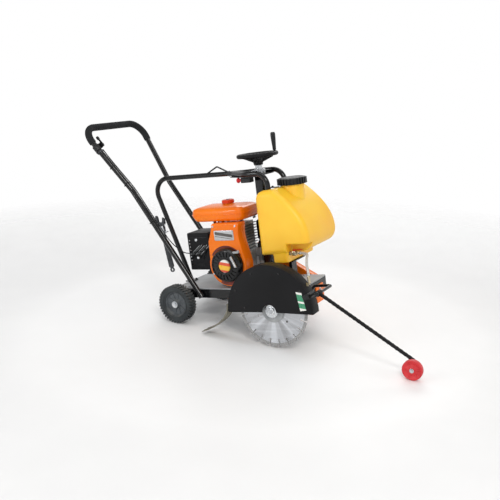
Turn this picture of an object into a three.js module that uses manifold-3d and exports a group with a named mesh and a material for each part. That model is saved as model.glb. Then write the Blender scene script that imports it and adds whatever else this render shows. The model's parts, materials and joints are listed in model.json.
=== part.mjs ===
// Walk-behind concrete cut-off saw: 350 mm blade, four-stroke engine, belt drive,
// 16 litre water tank and a screw-adjusted cutting depth. Millimetres, +Z up.
// +X is the direction of travel, +Y the operator's left; the blade is on the right.
//
// The chassis is drawn level, with the rear axle's centre as its zero, and then
// pitched nose-up about that axle, because the front wheels hold the blade off the floor.

import * as THREE from 'three';
import { RoundedBoxGeometry } from 'three/addons/geometries/RoundedBoxGeometry.js';
import { mergeVertices } from 'three/addons/utils/BufferGeometryUtils.js';
import Module from 'manifold-3d';

const wasm = await Module();
wasm.setup();

// ---------------------------------------------------------------- driving dimensions

const PITCH = THREE.MathUtils.degToRad(9);   // nose-up angle of the chassis
const CENTRE = { x: 345.58, y: 30 };         // the finished saw's middle, seen from the rear axle
const TREAD_SINK = 0.59;                     // how far the tyre's flats stand inside its round
const GAP = 0.3;                             // between pieces that touch
const RUN = 0.8;                             // bore over shaft, in radius, where a piece turns

const TYRE = { r: 98, width: 56, y: 220 };
const AXLE_R = 10;

const DECK = { back: -60, front: 668, half: 150, top: 62, deep: 50, plate: 5 };
const TUBE = { leg: 14, hoop: 10.5, sides: 8 };

const ARBOR = { x: 582, z: -3, r: 12.5 };
const BLADE = { r: 175, y: -272, thick: 3.2, slots: 21 };
const FLANGE = { r: 58, thick: 9 };
const GUARD = { r: 222, outer: -312, inner: -246, wall: 3, bottom: -8 };

const CRANK = { x: 285, z: 180 };            // engine crankshaft
const PULLEY = { engine: 38, arbor: 42, y: 180, half: 12 };

const MAST = { x: 440, half: 20 };
const FORK = { y: 90, x: 527, top: 615 };    // the hoop's two front legs
const PLATE = { top: FORK.top - TUBE.hoop - 1, thick: 5 };
const WHEEL_Z = 708;                         // top rim of the handwheel

const ARM = { x: 290, z: -5, reach: 450, axleZ: -119.9 };
const CASTER = { r: 50, width: 34, y: 92 };

const TANK = { back: 488, front: 746, half: 170, bottom: 229, top: 538, neckX: 612, sump: 193 };
const PIVOT = { x: 823, z: 82, r: 7 };       // pilot arm hinge
const PILOT = { x: 1222, z: -247, r: 45, y: -272 };

// ---------------------------------------------------------------- solids and shapes

function toSolid(geometry) {
  const bare = geometry.clone();
  bare.deleteAttribute('normal');
  bare.deleteAttribute('uv');
  const merged = mergeVertices(bare, 1e-3);
  return new wasm.Manifold(new wasm.Mesh({
    numProp: 3,
    vertProperties: new Float32Array(merged.attributes.position.array),
    triVerts: new Uint32Array(merged.index.array),
  }));
}

function toGeometry(solid) {
  const mesh = solid.getMesh();
  const geometry = new THREE.BufferGeometry();
  geometry.setAttribute('position', new THREE.BufferAttribute(new Float32Array(mesh.vertProperties), 3));
  geometry.setIndex(new THREE.BufferAttribute(new Uint32Array(mesh.triVerts), 1));
  geometry.computeVertexNormals();
  return geometry;
}

const join = (...pieces) => toGeometry(pieces.map(toSolid).reduce((whole, piece) => whole.add(piece)));

const cut = (base, ...tools) =>
  toGeometry(tools.map(toSolid).reduce((whole, tool) => whole.subtract(tool), toSolid(base)));

// A box between two corners.
function block(x0, x1, y0, y1, z0, z1) {
  return new THREE.BoxGeometry(x1 - x0, y1 - y0, z1 - z0)
    .translate((x0 + x1) / 2, (y0 + y1) / 2, (z0 + z1) / 2);
}

// The same with rounded edges.
function softBlock(x0, x1, y0, y1, z0, z1, radius, segments = 1) {
  return new RoundedBoxGeometry(x1 - x0, y1 - y0, z1 - z0, segments, radius)
    .translate((x0 + x1) / 2, (y0 + y1) / 2, (z0 + z1) / 2);
}

// A closed profile of [radius, height] points, revolved about the Y axis.
function turned(profile, segments = 18) {
  const points = profile.map(([radius, height]) => new THREE.Vector2(radius, height));
  if (THREE.ShapeUtils.area(points) < 0) points.reverse();
  const onAxis = points[0].x === 0 && points[points.length - 1].x === 0;
  if (!onAxis) points.push(points[0].clone());
  return new THREE.LatheGeometry(points, segments);
}

// A turned piece whose axis runs along Y through (x, z).
const turnedY = (profile, x, z, segments) => turned(profile, segments).translate(x, 0, z);

// A turned piece whose axis runs along Z through (x, y).
const turnedZ = (profile, x, y, segments) =>
  turned(profile, segments).rotateX(Math.PI / 2).translate(x, y, 0);

const barY = (radius, y0, y1, x, z, segments = 14) =>
  turnedY([[0, y0], [radius, y0], [radius, y1], [0, y1]], x, z, segments);

const barZ = (radius, z0, z1, x, y, segments = 14) =>
  turnedZ([[0, z0], [radius, z0], [radius, z1], [0, z1]], x, y, segments);

// A round bar between two points.
function rod(radius, from, to, segments = TUBE.sides) {
  const start = new THREE.Vector3(...from);
  const end = new THREE.Vector3(...to);
  const along = end.clone().sub(start);
  const turn = new THREE.Quaternion()
    .setFromUnitVectors(new THREE.Vector3(0, 1, 0), along.clone().normalize());
  const middle = start.add(end).multiplyScalar(0.5);
  return new THREE.CylinderGeometry(radius, radius, along.length(), segments)
    .applyQuaternion(turn)
    .translate(middle.x, middle.y, middle.z);
}

// The corner radius that keeps a many-sided bore's flats outside a round bar.
const boreFor = (radius, sides) => radius / Math.cos(Math.PI / sides);

// An outline in the XZ plane, extruded from y0 to y1.
function plateY(shape, y0, y1, bevel = 0, bevelSegments = 2, curveSegments = 10) {
  const depth = y1 - y0 - 2 * bevel;
  return new THREE.ExtrudeGeometry(shape, {
    depth, curveSegments, bevelEnabled: bevel > 0,
    bevelThickness: bevel, bevelSize: bevel, bevelOffset: -bevel, bevelSegments,
  })
    .translate(0, 0, bevel)
    .rotateX(Math.PI / 2)
    .translate(0, y1, 0);
}

// An outline in the XY plane, extruded from z0 to z1.
function plateZ(shape, z0, z1, bevel = 0, bevelSegments = 2, curveSegments = 10) {
  return new THREE.ExtrudeGeometry(shape, {
    depth: z1 - z0 - 2 * bevel, curveSegments, bevelEnabled: bevel > 0,
    bevelThickness: bevel, bevelSize: bevel, bevelOffset: -bevel, bevelSegments,
  }).translate(0, 0, z0 + bevel);
}

const outline = (points) => new THREE.Shape(points.map(([x, y]) => new THREE.Vector2(x, y)));

function roundedRect(x0, x1, y0, y1, radius) {
  const shape = new THREE.Shape();
  shape.moveTo(x0 + radius, y0);
  shape.lineTo(x1 - radius, y0);
  shape.absarc(x1 - radius, y0 + radius, radius, -Math.PI / 2, 0);
  shape.absarc(x1 - radius, y1 - radius, radius, 0, Math.PI / 2);
  shape.absarc(x0 + radius, y1 - radius, radius, Math.PI / 2, Math.PI);
  shape.absarc(x0 + radius, y0 + radius, radius, Math.PI, 1.5 * Math.PI);
  return shape;
}

// The loop that a belt makes around two wheels.
function beltLoop(a, radiusA, b, radiusB) {
  const heading = Math.atan2(b.z - a.z, b.x - a.x);
  const spread = Math.acos((radiusA - radiusB) / Math.hypot(b.x - a.x, b.z - a.z));
  const shape = new THREE.Shape();
  shape.absarc(a.x, a.z, radiusA, heading + spread, heading + 2 * Math.PI - spread);
  shape.absarc(b.x, b.z, radiusB, heading - spread, heading + spread);
  shape.closePath();
  return shape;
}

// A tube's centre line: straight runs joined by arcs, with a station at each end of
// a run and every 20 degrees or so around a bend.
class BentLine extends THREE.Curve {
  constructor(corners, bend) {
    super();
    const at = corners.map((corner) => new THREE.Vector3(...corner));
    this.stations = [at[0]];
    for (let i = 1; i < at.length - 1; i++) this.addBend(at[i - 1], at[i], at[i + 1], bend);
    this.stations.push(at[at.length - 1]);
  }

  addBend(before, corner, after, bend) {
    const back = before.clone().sub(corner).normalize();
    const ahead = after.clone().sub(corner).normalize();
    const half = back.angleTo(ahead) / 2;
    const sweep = Math.PI - 2 * half;
    const centre = back.clone().add(ahead).normalize()
      .multiplyScalar(bend / Math.sin(half)).add(corner);
    const start = back.clone().multiplyScalar(bend / Math.tan(half)).add(corner);
    const axis = ahead.clone().cross(back).normalize();
    const steps = Math.max(2, Math.round(sweep / (Math.PI / 9)));
    for (let i = 0; i <= steps; i++) {
      this.stations.push(start.clone().sub(centre)
        .applyAxisAngle(axis, (sweep * i) / steps).add(centre));
    }
  }

  get steps() {
    return this.stations.length - 1;
  }

  getPointAt(u) {
    const place = u * this.steps;
    const i = Math.min(Math.floor(place + 1e-9), this.steps - 1);
    return this.stations[i].clone().lerp(this.stations[i + 1], place - i);
  }

  getTangentAt(u) {
    const i = Math.round(u * this.steps);
    const last = this.stations[Math.max(i - 1, 0)];
    const next = this.stations[Math.min(i + 1, this.steps)];
    return next.clone().sub(last).normalize();
  }
}

function circleShape(radius, sides = TUBE.sides, bore = 0) {
  const loop = (r) => Array.from({ length: sides }, (_, i) => {
    const angle = (2 * Math.PI * i) / sides;
    return new THREE.Vector2(r * Math.cos(angle), r * Math.sin(angle));
  });
  const shape = new THREE.Shape(loop(radius));
  if (bore > 0) shape.holes.push(new THREE.Path(loop(bore)));
  return shape;
}

function bentTube(corners, bend, radius, bore = 0, sides = TUBE.sides) {
  const line = new BentLine(corners, bend);
  return new THREE.ExtrudeGeometry(circleShape(radius, sides, bore), {
    steps: line.steps, extrudePath: line, bevelEnabled: false, curveSegments: 1,
  });
}

// ---------------------------------------------------------------- paints

const paint = (color, roughness, metalness = 0) => () =>
  new THREE.MeshStandardMaterial({ color, roughness, metalness });

const blackGloss = paint(0x17181a, 0.28, 0.3);
const blackMatt = paint(0x222325, 0.6, 0.1);
const blackPlastic = paint(0x1b1c1d, 0.55);
const rubber = paint(0x34373a, 0.9);
const deckGrey = paint(0x9ba0a4, 0.55, 0.3);
const steel = paint(0xb9bcc0, 0.35, 0.9);
const zinc = paint(0xc8cbcf, 0.3, 0.9);
const darkSteel = paint(0x4a4d50, 0.5, 0.8);
const aluminium = paint(0xa6a9ab, 0.5, 0.8);
const orange = paint(0xf07a18, 0.35, 0.1);
const redOrange = paint(0xd8452a, 0.4, 0.1);
const yellow = paint(0xf8c832, 0.45);
const red = paint(0xd63b48, 0.5);
const rimGrey = paint(0x4a4f53, 0.6, 0.1);
const clearHose = paint(0xdfe6e6, 0.25);
const brass = paint(0xb8923c, 0.35, 0.9);

const chassis = new THREE.Group();

function add(name, geometry, makeMaterial) {
  const mesh = new THREE.Mesh(geometry, makeMaterial());
  mesh.name = name;
  chassis.add(mesh);
}

// ---------------------------------------------------------------- chassis and rear wheels

// A folded skirt round all four sides, with the lugs and bearing plates welded to it.
function chassisFrame() {
  const { back, front, half, top, deep, plate } = DECK;
  const under = top - plate - GAP;
  const skirt = cut(
    plateZ(roundedRect(back, front, -half, half, 10), top - deep, under, 0, 1, 2),
    block(back + plate, front - plate, plate - half, half - plate, top - deep - 1, under + 1),
  );
  const crossbars = [-4, ARM.x, 520].map((x) =>
    block(x - 14, x + 14, 2 - half, half - 2, under - 6, under));
  const axleLugs = [-1, 1].map((side) => cut(
    block(-24, 24, side * 132 - 4, side * 132 + 4, -18, under - 2),
    barY(boreFor(AXLE_R + GAP, 12), side * 132 - 5, side * 132 + 5, 0, 0, 12),
  ));
  const armLugs = [-1, 1].map((side) => cut(
    block(ARM.x - 18, ARM.x + 18, side * 64 - 4, side * 64 + 4, ARM.z - 20, under - 2),
    barY(boreFor(8 + GAP, 12), side * 64 - 5, side * 64 + 5, ARM.x, ARM.z, 12),
  ));
  const bearingPlates = [-1, 1].map((side) => cut(
    block(ARBOR.x - 55, ARBOR.x + 55, side * 153 - 4, side * 153 + 4, -52, 52),
    barY(20, side * 153 - 5, side * 153 + 5, ARBOR.x, ARBOR.z, 12),
  ));
  return join(skirt, ...crossbars, ...axleLugs, ...armLugs, ...bearingPlates);
}

function deckPlate() {
  const { back, front, half, top, plate } = DECK;
  return cut(
    plateZ(roundedRect(back, front, -half, half, 10), top - plate, top, 0, 1, 2),
    barZ(16, top - 9, top + 1, MAST.x, 0, 12),
  );
}

function rearWheels() {
  add('rear_axle', barY(AXLE_R, -TYRE.y - 32, TYRE.y + 32, 0, 0), zinc);
  for (const [side, name] of [[-1, 'right'], [1, 'left']]) {
    const inner = TYRE.y - TYRE.width / 2;
    const at = (height) => side * (inner + height);
    const tyre = [[62, at(8)], [90, at(0)], [TYRE.r, at(10)], [TYRE.r, at(46)], [90, at(56)], [62, at(48)]];
    const rim = [[AXLE_R + RUN, at(4)], [20, at(4)], [24, at(20)], [62 - GAP, at(12)],
      [62 - GAP, at(44)], [24, at(36)], [20, at(54)], [AXLE_R + RUN, at(54)]];
    add(`rear_tyre_${name}`, turnedY(tyre, 0, 0, 22), rubber);
    add(`rear_rim_${name}`, turnedY(rim, 0, 0, 22), rimGrey);
  }
}

// ---------------------------------------------------------------- handlebar and throttle

const LEG_FOOT = [116, 164.4, 20];
const LEG_BEND = [-230, 164.4, 585];
const BAR_END = [-441, 239, 926];
const BAR_BEND = 76;
const mirrored = ([x, y, z]) => [x, -y, z];

// A point between two others, at a fraction of the way.
const between = (a, b, t) => a.map((value, i) => value + (b[i] - value) * t);

function handlebar() {
  const corners = [LEG_FOOT, LEG_BEND, BAR_END].map(mirrored)
    .concat([BAR_END, LEG_BEND, LEG_FOOT]);
  return bentTube(corners, BAR_BEND, TUBE.leg, TUBE.leg - 2);
}

function handlebarGrip() {
  const line = [
    mirrored(between(BAR_END, LEG_BEND, 0.235)), mirrored(BAR_END),
    BAR_END, between(BAR_END, LEG_BEND, 0.29),
  ];
  return bentTube(line, BAR_BEND, TUBE.leg + 4.5, boreFor(TUBE.leg + GAP, TUBE.sides));
}

// The throttle's place on the right leg, and the leg's direction there.
const THROTTLE = mirrored(between(BAR_END, LEG_BEND, 0.31));
const UP_LEG = new THREE.Vector3(...mirrored(BAR_END))
  .sub(new THREE.Vector3(...mirrored(LEG_BEND))).normalize();

// Turns a piece drawn about +Z so that +Z runs up the leg, and moves it to the throttle.
function onLeg(geometry, slideUp = 0) {
  const turn = new THREE.Quaternion().setFromUnitVectors(new THREE.Vector3(0, 0, 1), UP_LEG);
  const place = new THREE.Vector3(...THROTTLE).addScaledVector(UP_LEG, slideUp);
  return geometry.applyQuaternion(turn).translate(place.x, place.y, place.z);
}

function throttle() {
  const bore = boreFor(TUBE.leg + GAP, 12);
  const clamp = join(
    turnedZ([[bore, -14], [TUBE.leg + 6, -14], [TUBE.leg + 6, 14], [bore, 14]], 0, 0, 12),
    block(-8, 34, 16.5, 21, -14, 14),
  );
  const pin = barY(4, 21 + GAP, 32, 24, 0, 12);
  const arm = block(20, 28, 23, 29, -4, 34);
  const knob = softBlock(17, 31, 19, 33, 28, 48, 5);
  add('throttle_clamp', onLeg(clamp), blackPlastic);
  add('throttle_lever', onLeg(join(pin, arm, knob)), blackPlastic);
}

// The throttle cable runs down the right leg's front side and crosses to the engine.
function throttleCable() {
  const top = mirrored(BAR_END);
  const knee = mirrored(LEG_BEND);
  const foot = mirrored(LEG_FOOT);
  const clear = TUBE.leg + 2.5 + GAP;
  const beside = (from, to, t, away = clear) => {
    const axis = new THREE.Vector3(...to).sub(new THREE.Vector3(...from)).normalize();
    const side = new THREE.Vector3(0.75, 0.6, 0.3).projectOnPlane(axis).setLength(away);
    return new THREE.Vector3(...between(from, to, t)).add(side);
  };
  const route = [
    beside(top, knee, 0.36, clear + 2), beside(top, knee, 0.5),
    beside(top, knee, 0.75), beside(top, knee, 1),
    beside(knee, foot, 0.2), beside(knee, foot, 0.38, clear + 1), beside(knee, foot, 0.52, clear + 6),
    ...[[22, -130, 244], [110, -128, 246], [168, -122, 262], [178, -98, 264], [209, -70, 264]]
      .map((corner) => new THREE.Vector3(...corner)),
  ];
  const curve = new THREE.CatmullRomCurve3(route, false, 'centripetal');
  return new THREE.ExtrudeGeometry(circleShape(2.5, 8), {
    steps: 30, extrudePath: curve, bevelEnabled: false, curveSegments: 1,
  });
}

// ---------------------------------------------------------------- hoop, mast and depth screw

// One leg at the rear, one tube along the top, and two branches that fork to the front.
function hoopFrame() {
  const { y, x, top } = FORK;
  const footZ = DECK.top + GAP;
  const crotch = [268, 0, top + 2];
  const rear = [[-51, 0, footZ + 4], [-222, 0, top + 4], crotch];
  const spine = (radius) => bentTube(rear, 75, radius);
  const branch = (side, radius) =>
    bentTube([[262, 0, top + 2], [300, side * 16, top + 1], [410, side * y, top], [x, side * y, top],
      [x, side * y, footZ]], 62, radius);
  const feet = [[-50, 0], [x, -y], [x, y]].map(([px, py]) =>
    block(px - 26, px + 26, py - 26, py + 26, footZ, footZ + 6));
  const eye = [[134, 0, top + 10], [199, 0, top + 42], [262, 0, top + 10]];
  const liftingEye = bentTube(eye, 12, 4, 0, 8);
  return join(spine(TUBE.hoop), branch(-1, TUBE.hoop), branch(1, TUBE.hoop), ...feet, liftingEye);
}

// The plate that closes the fork and carries the switch box.
function controlPlate() {
  const plate = outline([[286, -26], [402, -FORK.y - 4], [470, -FORK.y - 4], [470, FORK.y + 4],
    [402, FORK.y + 4], [286, 26]]);
  return cut(
    plateZ(plate, PLATE.top - PLATE.thick, PLATE.top),
    barZ(16, PLATE.top - 9, PLATE.top + 4, MAST.x, 0, 12),
  );
}

// The engine's stop switch hangs under the plate, with its red button at the rear.
const SWITCH = { x: 402, y: -58 };

function stopSwitch() {
  const { x, y } = SWITCH;
  const under = PLATE.top - PLATE.thick - GAP;
  const box = cut(
    softBlock(x - 30, x + 26, y - 18, y + 18, under - 26, under, 4),
    rod(8.8, [x - 40, y, under - 13], [x - 20, y, under - 13]),
  );
  add('switch_box', box, blackPlastic);
  const button = join(
    rod(7.5, [x - 27, y, under - 13], [x - 40, y, under - 13], 12),
    rod(13, [x - 40, y, under - 13], [x - 52, y, under - 13], 14),
  );
  add('stop_button', button, red);
}

function mastAndScrew() {
  const { x, half } = MAST;
  const mastTop = PLATE.top - PLATE.thick - GAP;
  const tube = join(
    cut(block(x - half, x + half, -half, half, DECK.top + GAP, mastTop),
      block(x - half + 3, x + half - 3, 3 - half, half - 3, DECK.top - 1, mastTop + 1)),
    cut(block(x - 34, x + 34, -34, 34, DECK.top + GAP, DECK.top + 6),
      block(x - 18, x + 18, -18, 18, DECK.top - 1, DECK.top + 7)),
  );
  add('mast', tube, blackGloss);
  add('lift_rod', join(barZ(12.5, -58, 262, x, 0, 12), barZ(17, -66, -56, x, 0, 12)), zinc);
  const collarTop = 628;
  const clamp = cut(
    join(softBlock(x - 24, x + 24, -24, 24, PLATE.top + GAP, collarTop, 4, 1),
      rod(5, [x - 44, -6, 618], [x - 20, -6, 618])),
    barZ(10 + RUN, 580, 660, x, 0),
  );
  add('screw_clamp', clamp, steel);
  add('depth_screw', join(barZ(10, 352, 678, x, 0), barZ(17, collarTop + GAP, 646, x, 0)), zinc);
}

function handwheel() {
  const { x } = MAST;
  const bore = boreFor(10 + GAP, 20);
  const dish = turnedZ([
    [bore, 648], [22, 648], [24, 664], [86, 694], [97, 688], [103, 698],
    [97, WHEEL_Z], [84, WHEEL_Z - 2], [22, 680], [bore, 680],
  ], x, 0, 20);
  const windows = [0, 1, 2, 3].map((i) => {
    const shape = new THREE.Shape();
    const middle = (i + 0.5) * (Math.PI / 2);
    shape.absarc(x, 0, 74, middle - 0.5, middle + 0.5);
    shape.absarc(x, 0, 38, middle + 0.36, middle - 0.36, true);
    shape.closePath();
    return plateZ(shape, 640, 715, 0, 1, 2);
  });
  const grip = { angle: THREE.MathUtils.degToRad(22), r: 86 };
  const gx = x + grip.r * Math.cos(grip.angle);
  const gy = grip.r * Math.sin(grip.angle);
  const spindle = barZ(5, 696, 750, gx, gy, 10);
  add('handwheel', join(cut(dish, ...windows), spindle), blackMatt);
  const handle = turnedZ([
    [5 + RUN, WHEEL_Z + 4], [8, WHEEL_Z + 4], [9.5, 728], [12, 776], [12, 792], [8, 798],
    [0, 798], [0, 754], [5 + RUN, 754],
  ], gx, gy, 12);
  add('handwheel_grip', handle, blackPlastic);
}

// ---------------------------------------------------------------- front depth arm and wheels

function frontArm() {
  const { x, z, reach, axleZ } = ARM;
  const pin = barY(8, -82, 82, x, z);
  const barrel = barY(17, -58, 58, x, z, 12);
  const side = (y) => rod(11, [x, y, z], [reach, y, axleZ], TUBE.sides);
  const pad = block(MAST.x - 26, MAST.x + 26, -52, 52, -78, -70);
  const padPosts = [-1, 1].map((s) => block(MAST.x - 14, MAST.x + 6, s * 46 - 5, s * 46 + 5, -118, -70));
  const axle = barY(8, -CASTER.y - 24, CASTER.y + 24, reach, axleZ);
  return join(pin, barrel, side(-46), side(46), pad, ...padPosts, axle);
}

function frontWheels() {
  for (const [side, name] of [[-1, 'right'], [1, 'left']]) {
    const at = (height) => side * (CASTER.y + height);
    const half = CASTER.width / 2;
    const profile = [[8 + RUN, at(-half)], [CASTER.r - 6, at(-half)], [CASTER.r, at(-half + 6)],
      [CASTER.r, at(half - 6)], [CASTER.r - 6, at(half)], [8 + RUN, at(half)]];
    add(`front_wheel_${name}`, turnedY(profile, ARM.reach, ARM.axleZ, 18), rubber);
  }
}

// ---------------------------------------------------------------- arbor, blade and drive

function arbor() {
  const { x, z, r } = ARBOR;
  const bladeNear = BLADE.y - BLADE.thick / 2;
  const bladeFar = BLADE.y + BLADE.thick / 2;
  for (const [side, name] of [[-1, 'right'], [1, 'left']]) {
    const at = (height) => (side < 0 ? -157 - GAP - height : 145 - GAP - height);
    const low = at(13);
    const housing = join(
      softBlock(x - 48, x + 48, low, low + 13, z - 48, z + 48, 5),
      barY(38, Math.min(at(1), at(31)), Math.max(at(1), at(31)), x, z, 16),
    );
    add(`bearing_${name}`, cut(housing, barY(boreFor(r + RUN, 14), -260, 260, x, z)), darkSteel);
  }
  const shaft = turnedY([[0, -300], [r, -300], [r, bladeFar + GAP], [FLANGE.r, bladeFar + GAP],
    [FLANGE.r, bladeFar + FLANGE.thick], [22, bladeFar + FLANGE.thick + 2], [22, -240],
    [r, -240], [r, 200], [0, 200]], x, z, 20);
  const bore = boreFor(r + GAP, 18);
  const outer = turnedY([[bore, bladeNear - GAP], [FLANGE.r, bladeNear - GAP],
    [FLANGE.r, bladeNear - FLANGE.thick + 2], [30, bladeNear - FLANGE.thick - 2],
    [r + GAP, bladeNear - FLANGE.thick - 2]], x, z, 16);
  add('arbor_shaft', shaft, steel);
  add('outer_flange', outer, steel);
  const nutFace = bladeNear - FLANGE.thick - 2 - GAP;
  const nut = cut(
    join(barY(30, nutFace - 3, nutFace, x, z), barY(23, nutFace - 14, nutFace - 2, x, z, 6)),
    barY(boreFor(r + GAP, 14), nutFace - 20, nutFace + 1, x, z),
  );
  add('arbor_nut', nut, zinc);
  add('saw_blade', sawBlade(), steel);
}

// A laser-welded diamond blade: one gullet per segment, each ending in a round keyhole.
function sawBlade() {
  const { r, slots, y, thick } = BLADE;
  const step = (2 * Math.PI) / slots;
  const slotHalf = 1.6;
  const keyR = 4.5;
  const keyAt = r - 26;
  const shape = new THREE.Shape();
  for (let i = 0; i < slots; i++) {
    const middle = i * step;
    const out = new THREE.Vector2(Math.cos(middle), Math.sin(middle));
    const neck = keyAt + keyR;
    const spot = (along, across) => [out.x * along - out.y * across, out.y * along + out.x * across];
    const rim = Math.sqrt(r * r - slotHalf * slotHalf);
    if (i === 0) shape.moveTo(...spot(rim, -slotHalf));
    else shape.lineTo(...spot(rim, -slotHalf));
    shape.lineTo(...spot(neck, -slotHalf));
    shape.lineTo(...spot(keyAt, -keyR));
    shape.lineTo(...spot(keyAt - keyR, 0));
    shape.lineTo(...spot(keyAt, keyR));
    shape.lineTo(...spot(neck, slotHalf));
    shape.lineTo(...spot(rim, slotHalf));
    const angle = middle + step / 2;
    shape.lineTo(r * Math.cos(angle), r * Math.sin(angle));
  }
  shape.closePath();
  shape.holes.push(new THREE.Path().absarc(0, 0, boreFor(ARBOR.r + GAP, 8), 0, 2 * Math.PI));
  for (const angle of [1.4, 3.5, 5.6]) {
    shape.holes.push(new THREE.Path()
      .absarc(84 * Math.cos(angle), 84 * Math.sin(angle), 6, 0, 2 * Math.PI));
  }
  return plateY(shape, y - thick / 2, y + thick / 2, 0, 1, 4).translate(ARBOR.x, 0, ARBOR.z);
}

function drive() {
  const { y, half, engine, arbor: driven } = PULLEY;
  const sheave = (radius, bore) => [[bore, y - half - 5], [24, y - half - 5], [24, y - half],
    [radius, y - half], [radius, y - half + 3], [radius - 8, y - half + 3], [radius - 8, y + half - 3],
    [radius, y + half - 3], [radius, y + half], [bore, y + half]];
  const drivenSheave = turnedY(sheave(driven, boreFor(ARBOR.r + GAP, 16)), ARBOR.x, ARBOR.z, 16);
  add('driven_pulley', drivenSheave, darkSteel);
  const stub = barY(12.5, 126 + GAP, y + half + 6, CRANK.x, CRANK.z, 12);
  add('drive_pulley', join(turnedY(sheave(engine, 10), CRANK.x, CRANK.z, 16), stub), darkSteel);
  const loop = beltLoop(CRANK, engine + 1, ARBOR, driven + 1);
  loop.holes.push(new THREE.Path(beltLoop(CRANK, engine - 8 + GAP, ARBOR, driven - 8 + GAP).getPoints(9)));
  add('v_belts', plateY(loop, y - half + 4, y + half - 4, 0, 1, 9), rubber);
  const shell = cut(
    plateY(beltLoop(CRANK, 50, ARBOR, 54), y - half - 6, y + half + 12, 4, 1, 8),
    plateY(beltLoop(CRANK, 46, ARBOR, 50), y - half - 8, y + half + 8, 0, 1, 8),
  );
  const wallZ = (x) => CRANK.z + ((ARBOR.z - CRANK.z) * (x - CRANK.x)) / (ARBOR.x - CRANK.x) - 60;
  const stays = [360, 500].flatMap((x) => [
    block(x - 14, x + 14, DECK.half + GAP, y - half - 4, 20, 26),
    block(x - 14, x + 14, y - half - 8, y - half - 4, Math.min(20, wallZ(x)), Math.max(26, wallZ(x) + 6)),
  ]);
  add('belt_guard', join(shell, ...stays), orange);
}

// ---------------------------------------------------------------- blade guard, water feed, flap

function guardOutline(radius, bottom) {
  const shape = new THREE.Shape();
  const end = Math.asin(bottom / radius);
  shape.absarc(0, 0, radius, end, Math.PI - end);
  shape.closePath();
  return shape;
}

function bladeGuard() {
  const { r, outer, inner, wall, bottom } = GUARD;
  const { x, z } = ARBOR;
  const shell = cut(
    plateY(guardOutline(r, bottom - z), outer, inner, 4, 1, 14).translate(x, 0, z),
    plateY(guardOutline(r - wall, bottom - 40), outer + wall, inner - wall, 0, 1, 14).translate(x, 0, z),
    barY(36, outer - 1, outer + wall + 1, x, z, 16),
    barY(36, inner - wall - 1, inner + 1, x, z, 16),
  );
  const stays = [-76, 76].map((dx) =>
    block(x + dx - 10, x + dx + 10, inner - 1, -DECK.half - GAP, 24, 40));
  const hinge = block(x - 96, x + 96, inner - 1, inner + 5, 24, 44);
  const latchAt = (radius) => [x + radius * Math.cos(0.37), z + radius * Math.sin(0.37)];
  const latch = barY(6, outer + 10, inner - 10, ...latchAt(r + 5), 8);
  return join(shell, hinge, latch, ...stays);
}

// The water inlet stands on the guard's rim, 33 degrees up from level, ahead of the blade.
const INLET = { angle: THREE.MathUtils.degToRad(33), y: BLADE.y };
const inletAt = (radius) => [
  ARBOR.x + radius * Math.cos(INLET.angle), INLET.y, ARBOR.z + radius * Math.sin(INLET.angle),
];

function waterInlet() {
  const root = inletAt(GUARD.r + 0.6);
  const [x, y, z] = inletAt(GUARD.r + 16);
  const elbow = [root, [x, y, z], [x, y, z + 34]];
  return join(bentTube(elbow, 8, 7, 0, 8), rod(9, inletAt(GUARD.r + 0.6), inletAt(GUARD.r + 8), 6));
}

// The rubber flap hangs from the guard's rear end and throws the slurry down.
function splashFlap() {
  const top = ARBOR.x - GUARD.r - GAP;
  return plateY(flapOutline(top, ARBOR.z, 5), GUARD.outer + 1, GUARD.inner - 1, 0, 1, 10);
}

// A hanging sheet that trails backwards: upright at its top, nearly level at its tip.
function flapOutline(top, z, thick) {
  const shape = new THREE.Shape();
  shape.moveTo(top - thick, z + 34);
  shape.bezierCurveTo(top - thick, z - 22, top - 58, z - 74, top - 170, z - 108);
  shape.lineTo(top - 168, z - 108 - thick);
  shape.bezierCurveTo(top - 54, z - 79, top, z - 26, top, z + 34);
  shape.closePath();
  return shape;
}

// ---------------------------------------------------------------- water tank

// The tank's outline from the side, drawn in by inset.
function tankSide(inset) {
  const { back, front, bottom, top } = TANK;
  const shape = new THREE.Shape();
  shape.moveTo(back + inset, bottom + inset);
  shape.lineTo(front - 56 - inset, bottom + 10 + inset);
  shape.quadraticCurveTo(front - inset, bottom + 22 + inset, front - inset, bottom + 84);
  shape.bezierCurveTo(front - 4 - inset, 392 - inset, 690 - inset, 462 - inset, 590 - inset, top - inset);
  shape.lineTo(540, top - inset);
  shape.quadraticCurveTo(back + inset, top - inset, back + inset, 490);
  shape.closePath();
  return shape;
}

function tankBody(inset, curve, round) {
  const { half } = TANK;
  const body = plateY(tankSide(inset), inset - half, half - inset, 28 - inset, round, curve);
  const sump = plateZ(roundedRect(548 + inset, 628 - inset, -160 + inset, 128 - inset, 14),
    TANK.sump + inset, 264, 0, 1, 3);
  return join(body, sump);
}

function waterTank() {
  const { half, top, neckX, back, front } = TANK;
  const wall = 4;
  const forkHalf = FORK.y + 24;
  const forkRecess = (grow) =>
    block(back - 20, 546 + grow, -forkHalf - grow, forkHalf + grow, 180, 620);
  const tapRecess = (grow) => block(628 - grow, front + 20, -half - 10, -112 + grow, 180, 284 + grow);
  const outer = cut(tankBody(0, 6, 3), forkRecess(0), tapRecess(0));
  const inner = cut(tankBody(wall, 5, 2), forkRecess(wall), tapRecess(wall));
  const neck = barZ(56, top - 100, top + 26, neckX, 0, 20);
  return cut(join(outer, neck), inner, barZ(50, top - 66, top + 30, neckX, 0, 20));
}

function tankCap() {
  const { top, neckX } = TANK;
  return turnedZ([
    [0, top + 33], [0, top + 40], [64, top + 40], [72, top + 34], [72, top + 7], [57.5, top + 7],
    [57.5, top + 31], [0, top + 31],
  ], neckX, 0, 20);
}

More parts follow.
